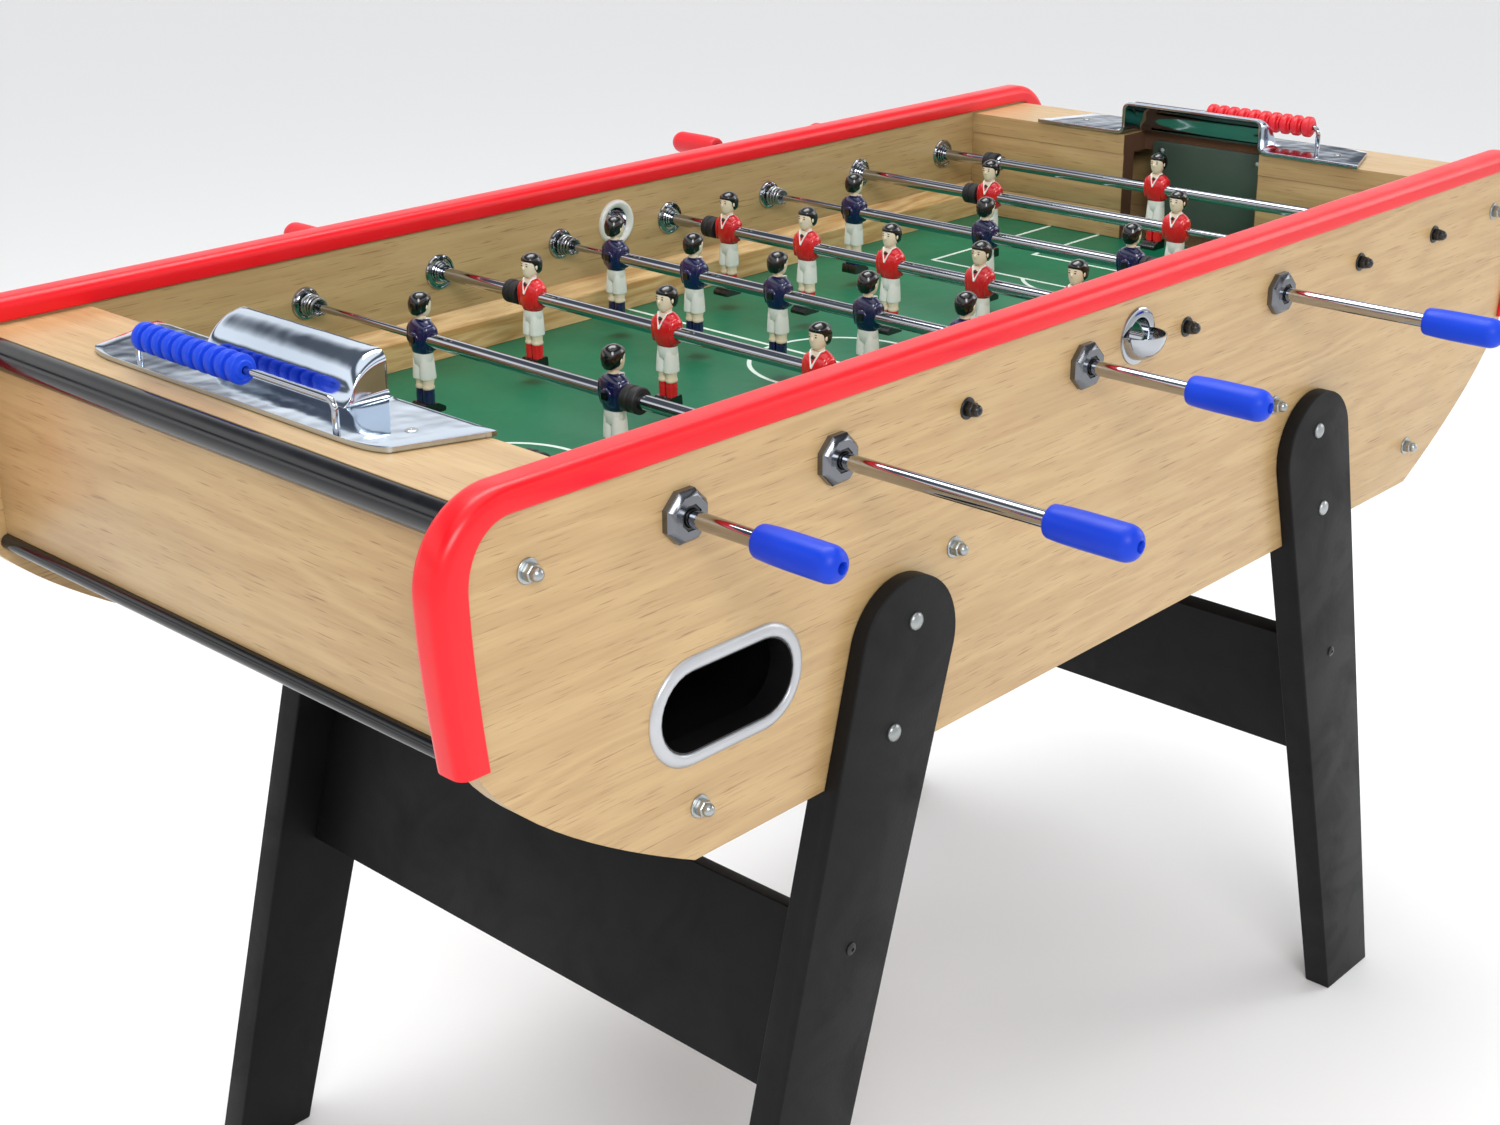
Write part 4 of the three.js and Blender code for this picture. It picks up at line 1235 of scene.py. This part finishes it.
for rod in RODS:
    team = "red_shirt" if rod["far"] else "navy_shirt"
    men = rod["men"]
    step = (men[-1] - men[0]) / max(1, len(men) - 1)
    parts = []
    for part, shape in FIGURE.items():
        finish = team if part in ("shirt", "sock") else part
        parts.append(row(shape(), finish, len(men), (0, men[0], 0), (0, step, 0)))
    parts.insert(0, parts.pop(4))
    finished(
        f"{rod['name']}_men", parts, body=f"{rod['name']}_rod", at=(rod["x"], 0, 0), turned=rod["far"], sharp=55,
        hides=[part for part in NODES if part.startswith(f"{rod['name']}_player")],
    )
print("figures", sum(len(rod["men"]) for rod in RODS))

# %% [markdown]
# Fittings on the walls. Where a tube passes, an octagonal chromed nut clamps the bearing from outside and a stepped
# flange shows inside. Where only the thin rod passes, a black dome nut holds it. All of them are turned profiles; the
# octagon is the same turning with eight sides.

# %% Bearings and dome nuts
def octagon_nut():
    flats = 18 / math.cos(math.pi / 8)
    return turned_piece(
        [(9.4, 0), (flats, 0), (flats, 4.6), (flats - 0.4, 5.2), (flats - 3.4, 8.8), (flats - 4.2, 9.2), (9.4, 9.2),
         (9.4, 0)],
        (0, -WALL_OUT, 0), (0, -1, 0), sides=8, phase=0.5,
    )


def bearing_bush():
    return turned_piece(
        [(6.35, -4), (9.35, -4), (9.35, 7.6), (8.6, 8.4), (6.9, 8.4), (6.35, 7.6), (6.35, -4)], (0, -WALL_OUT, 0),
        (0, -1, 0), sides=32,
    )


def bearing_flange():
    rings = [(8.0, 7.9), (8.7, 7.2), (8.0, 6.5), (7.3, 6.3), (7.3, 5.9), (9.0, 5.7), (9.8, 4.9), (9.0, 4.1), (8.0, 3.9),
             (8.0, 3.6), (10.2, 3.4), (11.0, 2.6), (10.6, 1.9)]
    steps = [(6.4, -3), (6.4, 7.9), *rings, (13.2, 1.6), (14.0, 2.6), (15.6, 2.4), (16.4, 1.2), (16.4, 0), (7.4, 0),
             (7.4, -3), (6.4, -3)]
    return turned_piece(steps, (0, -WALL_IN, 0), sides=40)


def dome_nut(x, z, wall=WALL_OUT):
    """A washer, a hexagon and a dome on the outside of the near wall."""
    start = (x, -wall, z)
    washer = turned_piece([(0, 0), (8.6, 0), (8.6, 0.9), (8.0, 1.5), (0, 1.5)], start, (0, -1, 0), sides=28)
    flats = turned_piece([(0, 1.5), (6.4, 1.5), (6.4, 6.2), (5.6, 7.2), (0, 7.2)], start, (0, -1, 0), sides=6)
    dome = [(4.9 * math.cos(a), 8.4 + 4.7 * math.sin(a)) for a in (math.pi / 2 * k / 7 for k in range(8))]
    cap = turned_piece([(0, 7), (4.9, 7), *dome[:-1], (0, dome[-1][1])], start, (0, -1, 0), sides=24)
    return joined(washer, flats, cap)


def thin_side_ring():
    """A pressed ring that frames the inner rod's collar on the near wall's inside."""
    ring = [(11.4, 0), (11.4, 2.2), (12.2, 3.0), (13.6, 2.8), (14.6, 1.4), (14.8, 0), (11.4, 0)]
    return turned_piece(ring, (0, -WALL_IN, 0), sides=40)


for rod in RODS:
    place = dict(at=(rod["x"], 0, 0), turned=rod["far"])
    # The octagon nut takes the darker copy of the chrome: painted shade for its dark faces.
    finished(
        f"{rod['name']}_bearing",
        [(bearing_flange(), "rod_chrome"), (octagon_nut(), "dark_nickel"), (bearing_bush(), "black_moulding")],
        sharp=24, **place,
    )
    place["turned"] = not rod["far"]
    finished(f"{rod['name']}_thin_side_ring", [(thin_side_ring(), "rod_chrome")], **place)
    finished(f"{rod['name']}_dome_nut", [(dome_nut(0, 0), "black_moulding")], bevel=0.3, **place)

DECK_BOLT, BATTEN_BOLT, TIE_BOLT = (657, 1), (236, -107), (513, -216)
for name, far in (("front", False), ("back", True)):
    nuts = [dome_nut(side * x, z) for x, z in (DECK_BOLT, BATTEN_BOLT, TIE_BOLT) for side in (-1, 1)]
    finished(f"panel_nuts_{name}", [(joined(*nuts), "zinc")], turned=far, bevel=0.25)
tie_rod = turned_piece([(0, -WALL_OUT - 2), (4, -WALL_OUT - 2), (4, WALL_OUT + 2), (0, WALL_OUT + 2)], sides=20)
ties = row(tie_rod, "zinc", 2, (-TIE_BOLT[0], 0, TIE_BOLT[1]), (2 * TIE_BOLT[0], 0, 0))
finished("tie_rods", [ties])
print("bearings", len(RODS), "panel nuts", 12)

# %% [markdown]
# The ball comes back through an oval hole with a bright pressed ring, and is served through a small hole with a
# chromed scoop outside and a white dish inside. The ring is one section carried round the oval.

# %% Ball return rings and serve cups
def round_the_oval(section):
    rings = []
    for grow, depth in section:
        rings.append([(x - RETURN_X, -WALL_OUT + depth, z + RETURN_Z) for x, z in stadium(grow)])
    return skin(rings, loop=True)


def oval_ring():
    """The pressed ring on the panel's face."""
    return round_the_oval([(-0.6, 0.1), (-0.6, -2.0), (0.4, -3.0), (2.4, -3.4), (5.4, -3.2), (7.8, -2.2), (9.2, -0.8),
                           (9.2, 0.1)])


def oval_sleeve():
    """The black liner from the ring through the panel."""
    return round_the_oval([(-1.8, PANEL - 0.5), (-1.8, -1.2), (-0.7, -1.2), (-0.3, PANEL - 0.5)])


def serve_ring():
    return turned_piece(
        [(14.6, -PANEL), (14.6, 1.2), (15.6, 2.3), (21.8, 2.3), (23.6, 1.5), (24, 0), (16.8, 0), (16.8, -PANEL),
         (14.6, -PANEL)],
        (0, -WALL_OUT, SERVE_HEIGHT), (0, -1, 0), sides=48,
    )


def serve_scoop():
    """A quarter ball of sheet metal below the hole, open at the top."""
    radius, rows = 22, []
    for i in range(13):
        out = math.pi / 2 * i / 12
        ring = []
        for k in range(19):
            turn = math.pi * k / 18
            ring.append((
                radius * math.cos(turn), -WALL_OUT - 1.8 - radius * math.sin(turn) * math.sin(out),
                SERVE_HEIGHT + 3 - radius * math.sin(turn) * math.cos(out),
            ))
        rows.append(ring)
    bm = bmesh.new()
    grid = [[bm.verts.new(p) for p in ring] for ring in rows]
    for low, high in zip(grid, grid[1:]):
        for i in range(len(low) - 1):
            bm.faces.new((low[i], low[i + 1], high[i + 1], high[i]))
    bmesh.ops.remove_doubles(bm, verts=bm.verts, dist=0.01)
    bmesh.ops.recalc_face_normals(bm, faces=bm.faces)
    return through_modifier(to_mesh(bm), "SOLIDIFY", thickness=1.4, offset=0)


def serve_dish():
    return turned_piece(
        [(14.8, -2), (14.8, 0.4), (16, 1.6), (18.4, 3.4), (20.6, 3.8), (22.2, 2.8), (22.8, 1.2), (22.8, 0), (16.6, 0),
         (16.6, -2), (14.8, -2)],
        (0, -WALL_IN, SERVE_HEIGHT), sides=48,
    )


for name, far in (("front", False), ("back", True)):
    ring_parts = [(oval_ring(), "return_ring_metal"), (oval_sleeve(), "black_moulding")]
    finished(f"return_ring_{name}", ring_parts, turned=far, sharp=50)
    finished(f"serve_scoop_{name}", [(serve_ring(), "rod_chrome"), (serve_scoop(), "rod_chrome")], turned=far)
    finished(f"serve_dish_{name}", [(serve_dish(), "white_moulding")], turned=far, sharp=50)

# %% [markdown]
# The legs are black laminated boards with a round head, lapped half their thickness behind the panel's foot, so the
# panel sits on a shoulder. The stretcher is housed between each pair. Round-headed bolts go through the head, and a
# small black screw marks the stretcher. The lean is the only thing that isn't in a box, so it is stated.

# %% Legs
LEG, LAP, LEAN = 28, 14, math.radians(15.55)
BOLT_X, BOLT_Z, HEAD_RADIUS, HEAD_DROP, FOOT_HALF = PITCH_HALF - 285, -143.6, 55, 20, 40
STRETCHER_START, STRETCHER_WIDE, STRETCHER, STRETCHER_SET = 245, 147, 18, 7
FLOOR = -ORIGIN.z / MM


def leant(shape):
    """A leg's shape, drawn upright round its upper bolt, leant into place at the left end."""
    mesh = to_mesh(shape)
    mesh.transform(Matrix.Translation((-BOLT_X, 0, BOLT_Z)) @ Matrix.Rotation(LEAN, 4, "Y"))
    return mesh


def leg_board():
    length = -(FLOOR - BOLT_Z) / math.cos(LEAN) + FOOT_HALF
    head = [(HEAD_RADIUS * math.cos(a), -HEAD_DROP + HEAD_RADIUS * math.sin(a)) for a in
            (math.pi * k / 28 for k in range(29))]
    outline = [(-FOOT_HALF, -length), (FOOT_HALF, -length), *head]
    front = -WALL_OUT - GAP - LAP
    far_away = 2000
    leg = leant(board(outline, front, front + LEG))
    lap_block = bar((-far_away, front + LAP, PANEL_LOW - GAP), (far_away, front + LEG + 5, far_away))
    floor_block = bar((-far_away, -far_away, FLOOR - far_away), (far_away, far_away, FLOOR))
    return carved(leg, lap_block, floor_block)


def leg_bolt_parts():
    face = -WALL_OUT - GAP - LAP
    dome = [(7.2, 0), (7.2, 0.8), (6.4, 2.2), (4.4, 3.3), (2, 3.8), (0, 3.9)]
    bolts = [turned_piece([(0, 0), *dome], (0, face, -z), (0, -1, 0), sides=32) for z in (0, 86)]
    screw = turned_piece([(0, 0), (5, 0), (5, 0.8), (3.6, 1.8), (1.7, 2.0), (1.6, 1.0), (0, 1.0)],
                         (0, face, -257), (0, -1, 0), sides=24)
    return [(leant(joined(*bolts)), "zinc"), (leant(screw), "black_moulding")]


def stretcher_shape():
    inner = WALL_OUT + GAP + LAP - LEG
    low = (-STRETCHER_SET, -inner + 0.2, -STRETCHER_START - STRETCHER_WIDE)
    high = (-STRETCHER_SET + STRETCHER, inner - 0.2, -STRETCHER_START)
    return leant(bar(low, high))


def mirrored(shape, axis):
    """A shape reflected across the middle plane of an axis, with its faces turned back outwards."""
    mesh = to_mesh(shape)
    scale = Matrix.Diagonal([-1 if k == axis else 1 for k in range(3)]).to_4x4()
    mesh.transform(scale)
    mesh.flip_normals()
    return mesh


for end, end_turned in (("left", False), ("right", True)):
    hides = [f"leg_frame_{end}"]
    near_parts = leg_bolt_parts()
    finished(f"leg_{end}_a", [(leg_board(), "black_laminate")], turned=end_turned, bevel=1.6, hides=hides)
    finished(f"leg_{end}_b", [(mirrored(leg_board(), 1), "black_laminate")], turned=end_turned, bevel=1.6)
    finished(f"leg_{end}_stretcher", [(stretcher_shape(), "black_laminate")], turned=end_turned, bevel=1.2)
    finished(f"leg_{end}_a_bolts", near_parts, turned=end_turned)
    far_parts = [(mirrored(shape, 1), finish) for shape, finish in leg_bolt_parts()]
    finished(f"leg_{end}_b_bolts", far_parts, turned=end_turned)
print("legs lean", round(math.degrees(LEAN), 2), "degrees")

# %% [markdown]
# The pitch and its battens are already the right shape in the CAD model, so those nodes stay and only change finish.
# Only the top of the playfield is printed; its edges and underside are bare board.

# %% Finishes on the CAD nodes that stay
for kept, finish in (("playfield", "pitch_print"), ("pitch_support_frame", "batten_wood")):
    NODES[kept].data.materials.clear()
    NODES[kept].data.materials.append(FINISH[finish][0])
field = NODES["playfield"].data
field.materials.append(FINISH["raw_fibreboard_edge"][0])
for face in field.polygons:
    face.material_index = 0 if face.normal.z > 0.5 else 1
print("playfield faces", len(field.polygons))

# %% [markdown]
# A plain pale floor and soft studio light. The world is pale at the horizon and has dark bands above it, which gives
# chrome and gloss paint something to reflect; three large area lights shape the boards.

# %% Stage and light
floor_material = bpy.data.materials.new("studio_floor")
floor_material.use_nodes = True
floor_shader = floor_material.node_tree.nodes["Principled BSDF"]
floor_shader.inputs["Base Color"].default_value = (0.97, 0.97, 0.97, 1)
floor_shader.inputs["Roughness"].default_value = 0.9
floor_mesh = bpy.data.meshes.new("studio_floor")
FLOOR_HALF = 40
floor_mesh.from_pydata(
    [(-FLOOR_HALF, -FLOOR_HALF, 0), (FLOOR_HALF, -FLOOR_HALF, 0), (FLOOR_HALF, FLOOR_HALF, 0),
     (-FLOOR_HALF, FLOOR_HALF, 0)], [], [(0, 1, 2, 3)],
)
floor_mesh.materials.append(floor_material)
studio_floor = bpy.data.objects.new("studio_floor", floor_mesh)
bpy.context.scene.collection.objects.link(studio_floor)

world = bpy.data.worlds.new("studio")
bpy.context.scene.world = world
world.use_nodes = True
sky = world.node_tree
direction = node(sky, "ShaderNodeSeparateXYZ", sky.nodes.new("ShaderNodeTexCoord").outputs["Generated"]).outputs[2]
HORIZON_ENDS, SIDE_STARTS, SIDE_ENDS, OVERHEAD_STARTS = (0.14, 0.2), (0.26, 0.32), (0.5, 0.6), (0.76, 0.86)
DARK_SKY, WHITE_SKY = (0.1, 0.11, 0.13), (1.0, 1.0, 1.0)
horizon = maths(sky, "SUBTRACT", 1.0, spread(sky, direction, *HORIZON_ENDS))
side_band = maths(sky, "SUBTRACT", spread(sky, direction, *SIDE_STARTS), spread(sky, direction, *SIDE_ENDS))
overhead = maths(sky, "MAXIMUM", side_band, spread(sky, direction, *OVERHEAD_STARTS))
glow = mixed(sky, maths(sky, "MAXIMUM", horizon, overhead), DARK_SKY, WHITE_SKY)
sky.links.new(glow, sky.nodes["Background"].inputs["Color"])
sky.nodes["Background"].inputs["Strength"].default_value = 1.25


def soft_light(name, place, size, power):
    light = bpy.data.lights.new(name, "AREA")
    light.shape = "RECTANGLE"
    light.size, light.size_y = size
    light.energy = power
    lamp = bpy.data.objects.new(name, light)
    aim = Vector((0, 0, 0.8)) - Vector(place)
    lamp.matrix_world = Matrix.Translation(place) @ aim.to_track_quat("-Z", "Y").to_matrix().to_4x4()
    bpy.context.scene.collection.objects.link(lamp)


soft_light("key_softbox", (-2.2, -2.6, 2.9), (1.6, 1.2), 62)
soft_light("top_softbox", (0.3, 0.6, 3.2), (2.2, 1.2), 48)
soft_light("fill_softbox", (2.8, -1.8, 1.8), (1.2, 1.6), 18)
